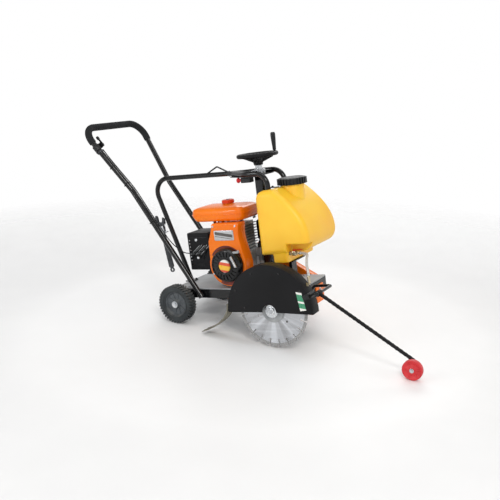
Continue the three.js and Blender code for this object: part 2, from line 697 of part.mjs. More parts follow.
// A shelf under the sump, on one post at the right and one near the middle.
function tankBracket() {
  const foot = DECK.top + GAP;
  const under = TANK.sump - GAP;
  const shelf = block(554, 634, -118, 14, under - 5, under);
  const posts = [[612, -98], [574, -6]].flatMap(([x, y]) => [
    block(x - 8, x + 8, y - 12, y + 12, foot, under - 4),
    block(x - 20, x + 20, y - 20, y + 20, foot, foot + 5),
  ]);
  return join(shelf, ...posts);
}

// The tap screws into the sump's front face; its lever points forward when open.
const TAP = { x: 652, y: -134, z: 235 };

function waterFeed() {
  const { x, y, z } = TAP;
  const body = join(
    rod(8, [628 + GAP, y, z], [x, y, z], 10),
    rod(12, [628 + GAP, y, z], [633, y, z], 6),
    softBlock(x - 11, x + 11, y - 11, y + 11, z - 11, z + 11, 4),
    rod(5, [x + 4, y, z], [x + 24, y, z], 8),
  );
  add('water_tap', body, brass);
  const lever = join(
    rod(4, [x, y, z + 11 + GAP], [x, y, z + 18], 8),
    softBlock(x - 7, x + 44, y - 6, y + 6, z + 15, z + 19, 1.5),
  );
  add('tap_lever', lever, redOrange);
  const [ix, iy, iz] = inletAt(GUARD.r + 16);
  const route = [
    [x + 25, y, z], [x + 40, y, z], [x + 76, y - 24, z - 1], [ix - 30, iy + 60, iz + 96],
    [ix - 12, iy + 18, iz + 74], [ix, iy, iz + 50], [ix, iy, iz + 35],
  ];
  const line = new THREE.CatmullRomCurve3(route.map((p) => new THREE.Vector3(...p)), false, 'centripetal');
  add('water_hose', new THREE.ExtrudeGeometry(circleShape(6, 8), {
    steps: 22, extrudePath: line, bevelEnabled: false, curveSegments: 1,
  }), clearHose);
}

// ---------------------------------------------------------------- engine

function crankcase() {
  const { x, z } = CRANK;
  const floor = DECK.top + GAP;
  return cut(
    join(
      softBlock(x - 82, x + 88, -92, 104, floor + 8, 236, 14),
      block(x - 96, x + 92, -70, 92, floor, floor + 12),
      barY(60, 100, 113, x, z, 20),
      barY(30, 112, 126, x, z, 16),
      rod(14, [x + 70, -60, 110], [x + 112, -60, 140]),
    ),
    barY(14, 60, 140, x, z, 12),
    block(x - 74, x + 80, -84, 90, floor - 1, 226),
  );
}

function cylinder() {
  const fins = Array.from({ length: 9 }, (_, i) => block(214, 350, -84, 66, 246 + i * 14, 250 + i * 14));
  return join(block(226, 338, -74, 56, 236 + GAP, 372), ...fins,
    rod(11, [232, -10, 300], [186, -10, 300]), rod(6, [252, -62, 366], [246, -76, 384]));
}

// The sheet-metal fan housing: a round scroll about the crankshaft with a tall chimney.
function fanShroud() {
  const { x, z } = CRANK;
  const profile = (inset) => {
    const r = 106 - inset;
    const shape = new THREE.Shape();
    shape.absarc(x, z, r, Math.PI * 0.9, Math.PI * 2.06);
    shape.lineTo(x + 86 - inset, 285);
    shape.lineTo(x + 75 - inset, 328);
    shape.lineTo(x + 87 - inset, 382 - inset);
    shape.lineTo(x + 80 - inset, 391 - inset);
    shape.lineTo(x - 58 + inset, 391 - inset);
    shape.lineTo(x - 70 + inset, 380 - inset);
    shape.lineTo(x - 98 + inset, 302);
    shape.closePath();
    return shape;
  };
  return cut(
    plateY(profile(0), -150, -94, 7, 1, 10),
    plateY(profile(4), -145, -90, 0, 1, 7),
    barY(85, -160, -140, x, z, 20),
    block(x - 90, x + 110, -110, -90, 236, 400),
  );
}

function recoilCover() {
  const { x, z } = CRANK;
  return turnedY([[0, -190], [64, -188], [75, -182], [80, -170], [82, -146], [72, -146], [70, -170],
    [56, -178], [0, -180]], x, z, 20);
}

const PULL = { x: 350, y: -200, z: 208 };

function recoilHandle() {
  const { x, y, z } = PULL;
  const tee = softBlock(-9, 9, -8, 8, -30, 30, 7);
  return tee.rotateY(-0.42).translate(x, y, z);
}

const FILLER = { x: 258, y: -30, top: 487 };

function fuelTank() {
  const [x0, x1, y0, y1] = [88, 386, -130, 65];
  const body = (grow, z0, z1) =>
    plateZ(roundedRect(x0 - grow, x1 + grow, y0 - grow, y1 + grow, 34), z0, z1, 12, 1, 3);
  const pan = body(0, 396, 463);
  const seam = plateZ(roundedRect(x0 - 4, x1 + 4, y0 - 4, y1 + 4, 36), 430, 434, 0, 1, 3);
  const dome = plateZ(roundedRect(x0 + 16, x1 - 16, y0 + 14, y1 - 14, 40), 436, 477, 16, 1, 3);
  const hollow = plateZ(roundedRect(x0 + 2, x1 - 2, y0 + 2, y1 - 2, 32), 398, 461, 12, 1, 3);
  const { x, y, top } = FILLER;
  const neck = barZ(24, top - 18, top, x, y, 16);
  return cut(join(pan, seam, dome, neck), hollow, barZ(19, top - 34, top + 8, x, y, 16));
}

function fuelCap() {
  const { x, y, top } = FILLER;
  const grips = [0, 1, 2].map((i) =>
    block(-33, 33, -8, 8, top + 1, top + 14).rotateZ((i * Math.PI) / 3).translate(x, y, 0));
  const cap = turnedZ([[0, top + 11], [0, top + 20], [22, top + 20], [30, top + 14], [31, top - 4],
    [25.5, top - 4], [25.5, top + 8], [0, top + 9]], x, y, 16);
  return cut(join(cap, ...grips), barZ(25.5, top - 8, top + 8, x, y, 16));
}

function muffler() {
  const guard = cut(
    softBlock(34, 166, -110, 34, 148, 340, 6),
    block(38, 162, -106, 40, 152, 336),
    ...Array.from({ length: 5 }, (_, i) =>
      block(-4, 4, -112, -104, -34, 34).rotateY(0.5).translate(72 + i * 17, 0, 236 + (i % 2) * 6)),
    ...Array.from({ length: 5 }, (_, i) => barY(5, -112, -104, 48, 176 + i * 30, 8)),
    rod(14, [150, -10, 300], [175, -10, 300]),
  );
  add('muffler_guard', guard, blackMatt);
  add('muffler', join(
    turnedZ([[0, 166], [36, 166], [44, 178], [44, 306], [36, 318], [0, 318]], 100, -34, 20),
    rod(11, [120, -10, 300], [186 - GAP, -10, 300]),
  ), darkSteel);
}

function airCleaner() {
  return join(
    softBlock(358, 415, 40, 122, 268, 372, 14, 2),
    rod(12, [393, 52, 300], [396, 0, 254], 12),
    barZ(13, 240 + GAP, 258, 396, 0, 12),
  );
}

function carburettor() {
  return join(
    softBlock(378, 412, -24, 24, 196, 240, 6),
    barZ(15, 172, 200, 396, 0, 16),
  );
}

// ---------------------------------------------------------------- front handle and pilot

// One bent rod from the deck's front edge; its free end is the pilot's hinge pin.
function frontHandle() {
  const { x, z, r } = PIVOT;
  const start = DECK.front + GAP;
  const rail = bentTube([
    [start + 3, -134, 44], [708, -134, 47], [740, -134, 78], [x, -134, z - 1], [x, -290, z],
  ], 14, r);
  const plate = block(start, start + 6, -148, -96, -14, 60);
  return join(rail, plate, barY(11, -297, -289, x, z, 12), barY(11, -257, -252, x, z, 12));
}

// The pilot wheel is bolted to the outer side of a lug at the bar's low end.
function pilotArm() {
  const { x, z, r } = PIVOT;
  const bore = boreFor(r + GAP, 12);
  const hub = turnedY([[bore, -287], [14, -287], [14, -259], [bore, -259]], x, z, 12);
  const lugY = PILOT.y + 22;
  const end = new THREE.Vector3(PILOT.x + 2, lugY, PILOT.z + 34);
  const start = new THREE.Vector3(x, PILOT.y, z);
  const along = end.clone().sub(start).normalize();
  const bar = rod(6.5, start.addScaledVector(along, 10).toArray(), end.toArray(), TUBE.sides);
  const lug = block(PILOT.x - 9, PILOT.x + 9, lugY - 3, lugY + 3, PILOT.z - 10, PILOT.z + 40);
  const bolt = barY(5, PILOT.y - 17, lugY, PILOT.x, PILOT.z, 12);
  const head = barY(9, PILOT.y - 20, PILOT.y - 15, PILOT.x, PILOT.z, 6);
  return join(hub, bar, lug, bolt, head);
}

function pilotWheel() {
  const { x, z, r, y } = PILOT;
  return turnedY([
    [5 + RUN, y - 14], [14, y - 14], [26, y - 8], [40, y - 13], [r, y - 8],
    [r, y + 8], [40, y + 13], [26, y + 8], [14, y + 14], [5 + RUN, y + 14],
  ], x, z, 20);
}

// ---------------------------------------------------------------- wrench in its holder

// An adjustable wrench that hangs in a clip beside the hoop's rear leg.
const WRENCH = { x: -184, y: -22, z: 350, lean: THREE.MathUtils.degToRad(-8) };
const alongLeg = (geometry) =>
  geometry.rotateY(WRENCH.lean).translate(WRENCH.x, WRENCH.y, WRENCH.z);

function wrench() {
  const handle = outline([[-11, 22], [-9, -180], [-13, -206], [13, -206], [9, -180], [12, 22]]);
  const head = outline([[-14, 10], [16, 16], [30, 32], [14, 40], [10, 34], [-8, 40],
    [-6, 62], [-18, 66], [-26, 40]]);
  const body = cut(
    join(plateY(handle, -4, 4), plateY(head, -7, 7), barY(15, -4, 4, 0, -214, 20)),
    barY(7, -9, 9, 0, -214, 16),
  );
  add('wrench_body', alongLeg(body), darkSteel);
  const jaw = outline([[16, 41], [30, 33.5], [34, 52], [22, 62]]);
  add('wrench_jaw', alongLeg(plateY(jaw, -6, 6)), darkSteel);
}

// ---------------------------------------------------------------- assembly

add('chassis_frame', chassisFrame(), blackGloss);
add('deck_plate', deckPlate(), deckGrey);
rearWheels();
add('handlebar', handlebar(), blackGloss);
add('handlebar_grip', handlebarGrip(), blackMatt);
throttle();
add('throttle_cable', throttleCable(), blackPlastic);
add('hoop_frame', hoopFrame(), blackGloss);
add('control_plate', controlPlate(), blackGloss);
stopSwitch();
mastAndScrew();
handwheel();
add('front_arm', frontArm(), blackGloss);
frontWheels();
arbor();
drive();
add('blade_guard', bladeGuard(), blackMatt);
add('water_inlet', waterInlet(), brass);
add('splash_flap', splashFlap(), rubber);
add('water_tank', waterTank(), yellow);
add('tank_cap', tankCap(), blackPlastic);
add('tank_bracket', tankBracket(), blackGloss);
waterFeed();
add('crankcase', crankcase(), aluminium);
add('cylinder', cylinder(), aluminium);
add('fan_shroud', fanShroud(), orange);
add('recoil_cover', recoilCover(), blackMatt);
add('recoil_handle', recoilHandle(), zinc);
add('fuel_tank', fuelTank(), orange);
add('fuel_cap', fuelCap(), redOrange);
muffler();
add('air_cleaner', airCleaner(), blackPlastic);
add('carburettor', carburettor(), aluminium);
add('front_handle', frontHandle(), blackGloss);
add('pilot_arm', pilotArm(), blackGloss);
add('pilot_wheel', pilotWheel(), red);
wrench();

// The finished saw stands on z = 0 with the middle of its bounding box over the origin.
chassis.rotation.y = -PITCH;
chassis.position.set(-CENTRE.x, CENTRE.y, TYRE.r - TREAD_SINK);

const saw = new THREE.Group();
saw.add(chassis);

export default saw;
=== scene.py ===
# Looks for a walk-behind concrete cut-off saw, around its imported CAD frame.
# Shapes are drawn in chassis millimetres, as in the CAD source: +X ahead, +Y left,
# +Z up, zero at the rear axle's centre, with the chassis level.

import json
import math

import bmesh
import bpy
from mathutils import Matrix, Vector


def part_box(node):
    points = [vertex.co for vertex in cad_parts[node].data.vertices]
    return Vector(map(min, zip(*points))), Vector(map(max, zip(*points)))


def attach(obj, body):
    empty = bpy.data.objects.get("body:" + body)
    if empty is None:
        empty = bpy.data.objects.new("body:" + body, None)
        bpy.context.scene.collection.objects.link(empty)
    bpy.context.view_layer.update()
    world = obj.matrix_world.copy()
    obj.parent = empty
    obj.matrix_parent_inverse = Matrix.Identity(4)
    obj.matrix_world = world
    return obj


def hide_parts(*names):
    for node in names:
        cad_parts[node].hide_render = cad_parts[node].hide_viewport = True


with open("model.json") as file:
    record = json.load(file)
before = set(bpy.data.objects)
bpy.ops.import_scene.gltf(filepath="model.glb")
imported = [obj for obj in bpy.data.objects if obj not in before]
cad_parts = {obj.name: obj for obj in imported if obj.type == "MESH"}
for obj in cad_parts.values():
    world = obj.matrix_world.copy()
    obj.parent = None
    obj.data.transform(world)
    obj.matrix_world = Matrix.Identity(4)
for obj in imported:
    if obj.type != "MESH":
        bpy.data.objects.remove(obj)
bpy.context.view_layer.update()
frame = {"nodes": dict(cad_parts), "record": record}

TAU = 2 * math.pi
PITCH = math.radians(9)
MM = 0.001

axle_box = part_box("rear_axle")
CHASSIS = (Matrix.Translation((axle_box[0] + axle_box[1]) / 2)
           @ Matrix.Rotation(-PITCH, 4, "Y") @ Matrix.Scale(MM, 4))
TO_CHASSIS = CHASSIS.inverted()
BODY_OF = {node: body for body, nodes in frame["record"]["behaviour"]["bodies"].items()
           for node in nodes}
ROOT = BODY_OF["chassis_frame"]


def span(node):
    """A CAD node's lowest and highest corner in chassis millimetres."""
    points = [TO_CHASSIS @ v.co for v in frame["nodes"][node].data.vertices]
    return (Vector(min(p[i] for p in points) for i in range(3)),
            Vector(max(p[i] for p in points) for i in range(3)))


def middle(node):
    low, high = span(node)
    return (low + high) / 2


# ------------------------------------------------------------------ camera and light

LENS = 52.24
DISTANCE = 3.6683
TARGET = Vector((-0.0521, 0.0300, 0.3716))
AZIMUTH, ELEVATION, ROLL = (math.radians(d) for d in (29.34, 14.759, 0.965))


def make_camera():
    camera = bpy.data.cameras.new("camera")
    camera.lens = LENS
    camera.sensor_width = 36
    camera.clip_end = 200
    holder = bpy.data.objects.new("camera", camera)
    bpy.context.scene.collection.objects.link(holder)
    back = Vector((math.sin(AZIMUTH) * math.cos(ELEVATION),
                   -math.cos(AZIMUTH) * math.cos(ELEVATION), math.sin(ELEVATION)))
    turn = back.to_track_quat("Z", "Y").to_matrix().to_4x4() @ Matrix.Rotation(ROLL, 4, "Z")
    holder.matrix_world = Matrix.Translation(TARGET + back * DISTANCE) @ turn
    bpy.context.scene.camera = holder


def area_light(name, place, aim, size, power, tint=(1, 1, 1)):
    light = bpy.data.lights.new(name, "AREA")
    light.shape = "RECTANGLE"
    light.size, light.size_y = size
    light.energy = power
    light.color = tint
    holder = bpy.data.objects.new(name, light)
    bpy.context.scene.collection.objects.link(holder)
    holder.location = place
    holder.rotation_euler = (Vector(place) - Vector(aim)).to_track_quat("Z", "Y").to_euler()


def make_light():
    aim = (0, 0, 0.35)
    area_light("key", (2.6, -3.2, 3.6), aim, (1.5, 1.0), 80, (1, 0.985, 0.96))
    area_light("strip", (-2.2, -3.6, 1.5), aim, (0.22, 2.4), 26, (0.96, 0.98, 1))
    area_light("back", (-1.2, 3.6, 3.0), aim, (3.0, 1.2), 50)
    area_light("top", (0, 0, 4.2), (0, 0, 0), (3.0, 3.0), 42)
    world = bpy.data.worlds.new("studio")
    world.use_nodes = True
    tree = world.node_tree
    background = tree.nodes["Background"]
    background.inputs["Color"].default_value = (1, 1, 1, 1)
    direction = tree.nodes.new("ShaderNodeSeparateXYZ")
    dimmed = tree.nodes.new("ShaderNodeMapRange")
    for socket, value in ((1, 0.15), (2, 0.55), (3, 1.0), (4, 0.42)):
        dimmed.inputs[socket].default_value = value
    tree.links.new(tree.nodes.new("ShaderNodeTexCoord").outputs["Generated"], direction.inputs[0])
    tree.links.new(direction.outputs[2], dimmed.inputs[0])
    tree.links.new(dimmed.outputs[0], background.inputs["Strength"])
    bpy.context.scene.world = world
    bpy.context.scene.view_settings.view_transform = "Standard"


# ------------------------------------------------------------------ materials

class Recipe:
    """A node material under construction."""

    def __init__(self, name):
        self.material = bpy.data.materials.new(name)
        self.material.use_nodes = True
        self.tree = self.material.node_tree
        self.shader = self.tree.nodes["Principled BSDF"]
        self.place = self.tree.nodes.new("ShaderNodeTexCoord").outputs["Object"]

    def node(self, kind, inputs=(), **settings):
        made = self.tree.nodes.new("ShaderNode" + kind)
        for key, value in settings.items():
            setattr(made, key, value)
        for key, value in dict(inputs).items():
            if isinstance(value, bpy.types.NodeSocket):
                self.tree.links.new(value, made.inputs[key])
            else:
                made.inputs[key].default_value = value
        return made

    def noise(self, scale, detail=3.0, place=None):
        return self.node("TexNoise", {"Vector": place or self.place, "Scale": scale,
                                      "Detail": detail}).outputs[0]

    def ramp(self, value, low, high, start=0.0, end=1.0):
        return self.node("MapRange", {"Value": value, 1: low, 2: high, 3: start, 4: end}).outputs[0]

    def product(self, a, b):
        return self.node("Math", {0: a, 1: b}, operation="MULTIPLY").outputs[0]

    def blend(self, share, a, b):
        return self.node("Mix", {0: share, 6: a, 7: b}, data_type="RGBA").outputs[2]

    def bump(self, height, strength, distance):
        made = self.node("Bump", {"Height": height, "Strength": strength, "Distance": distance})
        self.tree.links.new(made.outputs[0], self.shader.inputs["Normal"])

    def use(self, socket, value):
        self.tree.links.new(value, self.shader.inputs[socket])


def rgb(red, green, blue):
    """A colour given as screen values from 0 to 255."""
    return (*(((v / 255 + 0.055) / 1.055) ** 2.4 for v in (red, green, blue)), 1)


def finish(name, dark, light, rough, metal=0.0, cloud=5.0, grain=500.0, relief=0.1, depth=0.0002,
           dust=0.0, worn=None, **sockets):
    """A surface of two close tones, with its own grain, unevenness, dust and worn edges."""
    r = Recipe(name)
    tone = r.blend(r.ramp(r.noise(cloud, 5.0), 0.35, 0.65), dark, light)
    if worn:
        edge = r.ramp(r.node("NewGeometry").outputs["Pointiness"], 0.56, 0.66)
        chips = r.ramp(r.noise(90.0, 6.0), 0.52, 0.6)
        tone = r.blend(r.product(edge, chips), tone, worn)
    if dust:
        up = r.node("SeparateXYZ", {0: r.node("NewGeometry").outputs["Normal"]}).outputs[2]
        settled = r.product(r.ramp(up, 0.2, 1.0, 0.0, dust), r.ramp(r.noise(22.0, 6.0), 0.3, 0.7))
        tone = r.blend(settled, tone, rgb(176, 172, 164))
    r.use("Base Color", tone)
    smears = r.noise(cloud * 4, 6.0)
    r.use("Roughness", r.ramp(smears, 0.3, 0.7, rough[0], rough[1]))
    r.bump(r.noise(grain, 2.0), relief, depth)
    r.shader.inputs["Metallic"].default_value = metal
    for socket, value in sockets.items():
        r.shader.inputs[socket.replace("_", " ")].default_value = value
    return r.material


def brushed_disc(name, dark, light, hub):
    """Ground steel, with fine rings about a centre, and painted sheen: bright fans across them stand in for
    the light's radial reflection.
    """
    r = Recipe(name)
    away = r.node("VectorMath", {0: r.place, 1: hub}, operation="SUBTRACT").outputs[0]
    flat = r.node("VectorMath", {0: away, 1: (1, 0, 1)}, operation="MULTIPLY").outputs[0]
    distance = r.node("VectorMath", {0: flat}, operation="LENGTH").outputs["Value"]
    rings = r.node("CombineXYZ", {0: distance}).outputs[0]
    scratches = r.noise(900.0, 4.0, rings)
    tone = r.blend(r.ramp(scratches, 0.3, 0.7), dark, light)
    parts = r.node("SeparateXYZ", {0: flat})
    bearing = r.node("Math", {0: parts.outputs[2], 1: parts.outputs[0]}, operation="ARCTAN2").outputs[0]
    # Painted sheen: fans of the disc are lightened by bearing, as the light's reflection on ground steel
    # would lighten them.
    painted_sheen_fans = r.noise(1.6, 3.0, r.node("CombineXYZ", {0: bearing}).outputs[0])
    tone = r.blend(r.ramp(painted_sheen_fans, 0.42, 0.6), tone, rgb(216, 219, 224))
    streaks = r.ramp(r.noise(7.0, 4.0), 0.35, 0.7)
    r.use("Base Color", r.blend(r.product(streaks, r.ramp(scratches, 0.4, 0.6)), tone, rgb(206, 208, 212)))
    r.use("Roughness", r.ramp(scratches, 0.3, 0.7, 0.32, 0.46))
    r.bump(scratches, 0.25, 0.0001)
    r.shader.inputs["Metallic"].default_value = 0.85
    return r.material


def foam_finish():
    r = Recipe("foam")
    pores = r.node("TexVoronoi", {"Vector": r.place, "Scale": 700.0}).outputs["Distance"]
    tone = r.blend(r.ramp(pores, 0.1, 0.6), rgb(14, 15, 16), rgb(42, 43, 45))
    r.use("Base Color", r.blend(r.ramp(r.noise(14.0), 0.4, 0.7), tone, rgb(32, 33, 34)))
    r.shader.inputs["Specular IOR Level"].default_value = 0.2
    r.use("Roughness", r.ramp(r.noise(30.0), 0.3, 0.7, 0.85, 0.98))
    r.bump(pores, 0.5, 0.0006)
    return r.material


def hose_finish():
    r = Recipe("clear_hose")
    film = r.noise(60.0, 5.0)
    r.use("Base Color", r.blend(r.ramp(film, 0.4, 0.7), rgb(206, 202, 196), rgb(176, 172, 168)))
    r.use("Roughness", r.ramp(film, 0.3, 0.7, 0.12, 0.3))
    r.bump(film, 0.2, 0.0003)
    r.shader.inputs["Transmission Weight"].default_value = 0.15
    r.shader.inputs["IOR"].default_value = 1.4
    return r.material


def label_finish(name, centre, half_height, bands):
    """A printed plate with generic bands across it; each band is a share of the height and a colour."""
    r = Recipe(name)
    low = CHASSIS @ (Vector(centre) - half_height * Vector((0, 0, 1)))
    height = r.node("SeparateXYZ", {0: r.place}).outputs[2]
    share = r.ramp(height, low.z, low.z + 2 * half_height * MM)
    ramp = r.node("ValToRGB", {0: share})
    ramp.color_ramp.interpolation = "CONSTANT"
    stops = ramp.color_ramp.elements
    while len(stops) < len(bands):
        stops.new(1.0)
    for stop, (start, colour) in zip(stops, bands):
        stop.position = start
        stop.color = colour
    film = r.ramp(r.noise(60.0, 5.0), 0.3, 0.7, 0.0, 0.12)
    r.use("Base Color", r.blend(film, ramp.outputs[0], rgb(150, 148, 144)))
    r.use("Roughness", r.ramp(r.noise(40.0), 0.3, 0.7, 0.25, 0.4))
    r.bump(r.noise(300.0), 0.05, 0.0002)
    return r.material


BLACK_GLOSS = finish("black_gloss", rgb(7, 8, 10), rgb(13, 14, 16), (0.14, 0.22), grain=120.0,
                     relief=0.02, dust=0.03, Coat_Weight=0.2, Coat_Roughness=0.1,
                     Specular_IOR_Level=0.32)
BLACK_MATT = finish("black_matt", rgb(13, 13, 15), rgb(21, 21, 23), (0.4, 0.56), grain=900.0,
                    relief=0.1, worn=rgb(64, 65, 67), dust=0.03, Specular_IOR_Level=0.17)
BLACK_PLASTIC = finish("black_plastic", rgb(15, 16, 18), rgb(25, 27, 29), (0.28, 0.42),
                       grain=300.0, relief=0.05, dust=0.06, Specular_IOR_Level=0.3)
FOAM = foam_finish()
TYRE = finish("tyre_rubber", rgb(46, 49, 51), rgb(66, 70, 72), (0.78, 0.95), cloud=12.0,
              grain=700.0, relief=0.35, depth=0.0005, dust=0.35, Specular_IOR_Level=0.3)
FLAP = finish("flap_rubber", rgb(104, 101, 90), rgb(136, 132, 118), (0.7, 0.9), cloud=9.0,
              grain=350.0, relief=0.4, depth=0.0006)
# Painted reflection: the deck plate is black gloss, and this grey stands in for the bright studio it reflects
# at a grazing angle. Its dust and worn edges are real.
DECK_REFLECTION_GREY = finish("deck_grey", rgb(140, 143, 147), rgb(168, 171, 174), (0.35, 0.55), cloud=8.0,
                   grain=700.0, relief=0.2, worn=rgb(205, 205, 205), dust=0.3)
RIM_GREY = finish("rim_grey", rgb(62, 67, 71), rgb(86, 91, 95), (0.5, 0.7), cloud=14.0,
                  grain=900.0, relief=0.25, dust=0.3, worn=rgb(150, 152, 154))
STEEL = finish("steel", rgb(168, 171, 175), rgb(206, 208, 211), (0.22, 0.42), metal=0.9,
               cloud=20.0, grain=900.0, relief=0.12)
ZINC = finish("zinc", rgb(182, 186, 190), rgb(222, 224, 226), (0.2, 0.38), metal=0.9,
              cloud=40.0, grain=1200.0, relief=0.1)
DARK_STEEL = finish("dark_steel", rgb(52, 54, 57), rgb(84, 86, 89), (0.38, 0.6), metal=0.75,
                    cloud=16.0, grain=700.0, relief=0.3, worn=rgb(150, 152, 155))
ALUMINIUM = finish("aluminium", rgb(138, 141, 143), rgb(172, 174, 175), (0.38, 0.6), metal=0.4,
                   cloud=18.0, grain=380.0, relief=0.4, depth=0.0005, dust=0.15)
ORANGE = finish("orange", rgb(232, 108, 8), rgb(242, 122, 12), (0.2, 0.3), grain=220.0,
                relief=0.02, dust=0.03, Coat_Weight=0.18, Coat_Roughness=0.08, Specular_IOR_Level=0.22)
RED_ORANGE = finish("red_orange", rgb(188, 44, 14), rgb(210, 62, 20), (0.25, 0.4), grain=400.0,
                    relief=0.1, Specular_IOR_Level=0.25)
YELLOW = finish("yellow", rgb(244, 184, 30), rgb(250, 200, 52), (0.34, 0.48), cloud=4.0,
                grain=160.0, relief=0.12, depth=0.0006, Subsurface_Weight=0.12,
                Subsurface_Scale=0.01)
RED = finish("red", rgb(196, 32, 40), rgb(214, 48, 54), (0.35, 0.55), cloud=20.0, grain=600.0,
             relief=0.2, dust=0.12)
BRASS = finish("brass", rgb(172, 156, 122), rgb(206, 194, 168), (0.2, 0.36), metal=0.9,
               cloud=60.0, grain=900.0, relief=0.12)
HOSE = hose_finish()
BLADE_STEEL = brushed_disc("blade_steel", rgb(128, 128, 130), rgb(164, 165, 168),
                           CHASSIS @ Vector((582, 0, -3)))
GRIT = finish("diamond_grit", rgb(136, 136, 136), rgb(162, 161, 160), (0.6, 0.85), metal=0.1,
              cloud=120.0, grain=1500.0, relief=0.9, depth=0.0004)
# Painted shade: a dark red that stands for the orange shroud in shade, in the recess round the recoil cover.
RECESS_SHADE_RED = finish("recess_painted_shade", rgb(96, 30, 18), rgb(136, 44, 26), (0.45, 0.6), cloud=30.0)
PALE, SILVER, CHARCOAL = rgb(232, 232, 226), rgb(186, 188, 190), rgb(74, 70, 68)
AMBER, VERMILION, GREEN = rgb(244, 190, 36), rgb(216, 72, 28), rgb(48, 140, 100)
BADGE = label_finish("badge_silver", (285, -152, 331), 20,
                     [(0, SILVER), (0.18, CHARCOAL), (0.26, SILVER), (0.4, CHARCOAL), (0.78, SILVER)])
EMBLEM = label_finish("badge_warm", (285, -188, 180), 35,
                      [(0, PALE), (0.14, VERMILION), (0.3, AMBER), (0.62, VERMILION), (0.84, PALE)])
STICKER = label_finish("sticker_green", (750, -312, 52), 44,
                       [(0, PALE), (0.14, GREEN), (0.4, PALE), (0.5, GREEN), (0.84, PALE)])


# ------------------------------------------------------------------ shapes

def ring_angles(count, start=0.0, sweep=TAU):
    steps = count if sweep >= TAU - 1e-6 else count - 1
    return [start + sweep * i / steps for i in range(count)]


def bridge(bm, rings, closed_rings=True, closed_loop=False):
    """Faces between neighbouring rings of vertices."""
    pairs = list(zip(rings, rings[1:]))
    if closed_loop:
        pairs.append((rings[-1], rings[0]))
    for a, b in pairs:
        count = max(len(a), len(b))
        for i in range(count if closed_rings else count - 1):
            j = (i + 1) % count
            corners = [a[i % len(a)], a[j % len(a)], b[j % len(b)], b[i % len(b)]]
            corners = list(dict.fromkeys(corners))
            if len(corners) > 2:
                bm.faces.new(corners)


def moved(bm, matrix):
    bmesh.ops.transform(bm, matrix=matrix, verts=bm.verts)
    return bm


def shifted(bm, x, y, z):
    return moved(bm, Matrix.Translation((x, y, z)))


def pointed(bm, at, axis):
    """Turns a shape drawn about +Z to stand along an axis at a place."""
    turn = Vector((0, 0, 1)).rotation_difference(Vector(axis)).to_matrix().to_4x4()
    return moved(bm, Matrix.Translation(Vector(at)) @ turn)


X, Y, Z = Vector((1, 0, 0)), Vector((0, 1, 0)), Vector((0, 0, 1))


def turned(profile, at=(0, 0, 0), axis=Z, sides=64, start=0.0, sweep=TAU):
    """An outline of [radius, height] points, revolved about an axis through a place."""
    bm = bmesh.new()
    whole = sweep >= TAU - 1e-6
    angles = ring_angles(sides, start, sweep)
    rings = []
    for radius, height in profile:
        around = angles if radius > 0 else angles[:1]
        rings.append([bm.verts.new((radius * math.cos(a), radius * math.sin(a), height)) for a in around])
    hollow = profile[0][0] > 0 or profile[-1][0] > 0
    bridge(bm, rings, whole, hollow)
    if not whole:
        bm.faces.new([ring[0] for ring in rings])
        bm.faces.new([ring[-1] for ring in rings])
    bmesh.ops.recalc_face_normals(bm, faces=bm.faces)
    return pointed(bm, at, axis)


def disc(radius, low, high, at=(0, 0, 0), axis=Z, sides=48):
    return turned([(0, low), (radius, low), (radius, high), (0, high)], at, axis, sides)


def swept(points, radius, sides=20):
    """A round bar with flat ends along a line of points."""
    bm = bmesh.new()
    points = [Vector(p) for p in points]
    size = radius if callable(radius) else (lambda share: radius)
    last = len(points) - 1
    heading = (points[1] - points[0]).normalized()
    side = heading.orthogonal().normalized()
    rings = []
    for i, point in enumerate(points):
        ahead = (points[min(i + 1, last)] - points[max(i - 1, 0)]).normalized()
        side = heading.rotation_difference(ahead) @ side
        heading = ahead
        over = heading.cross(side)
        r = size(i / last)
        rings.append([bm.verts.new(point + r * (math.cos(a) * side + math.sin(a) * over))
                      for a in ring_angles(sides)])
    bridge(bm, rings)
    bm.faces.new(rings[0])
    bm.faces.new(rings[-1])
    bmesh.ops.recalc_face_normals(bm, faces=bm.faces)
    return bm


def rod(radius, start, end, sides=20):
    return swept([start, end], radius, sides)


def bent(corners, bend, steps=9):
    """Straight runs between corners, joined by arcs of one radius."""
    corners = [Vector(c) for c in corners]
    line = [corners[0]]
    for before, corner, after in zip(corners, corners[1:], corners[2:]):
        back, ahead = (before - corner).normalized(), (after - corner).normalized()
        half = back.angle(ahead) / 2
        centre = corner + (back + ahead).normalized() * bend / math.sin(half)
        start = corner + back * bend / math.tan(half) - centre
        axis = ahead.cross(back).normalized()
        sweep = math.pi - 2 * half
        line += [centre + Matrix.Rotation(sweep * i / steps, 3, axis) @ start for i in range(steps + 1)]
    return line + [corners[-1]]


def flowing(points, steps=10):
    """A smooth line through points, centripetal like the CAD's."""
    points = [Vector(p) for p in points]
    ends = [2 * points[0] - points[1]] + points + [2 * points[-1] - points[-2]]
    line = []
    for p0, p1, p2, p3 in zip(ends, ends[1:], ends[2:], ends[3:]):
        t1 = (p1 - p0).length ** 0.5
        t2 = t1 + (p2 - p1).length ** 0.5
        t3 = t2 + (p3 - p2).length ** 0.5
        for i in range(steps):
            t = t1 + (t2 - t1) * i / steps
            a1 = p0 * (t1 - t) / t1 + p1 * t / t1
            a2 = p1 * (t2 - t) / (t2 - t1) + p2 * (t - t1) / (t2 - t1)
            a3 = p2 * (t3 - t) / (t3 - t2) + p3 * (t - t2) / (t3 - t2)
            b1 = a1 * (t2 - t) / t2 + a2 * t / t2
            b2 = a2 * (t3 - t) / (t3 - t1) + a3 * (t - t1) / (t3 - t1)
            line.append(b1 * (t2 - t) / (t2 - t1) + b2 * (t - t1) / (t2 - t1))
    return line + [points[-1]]


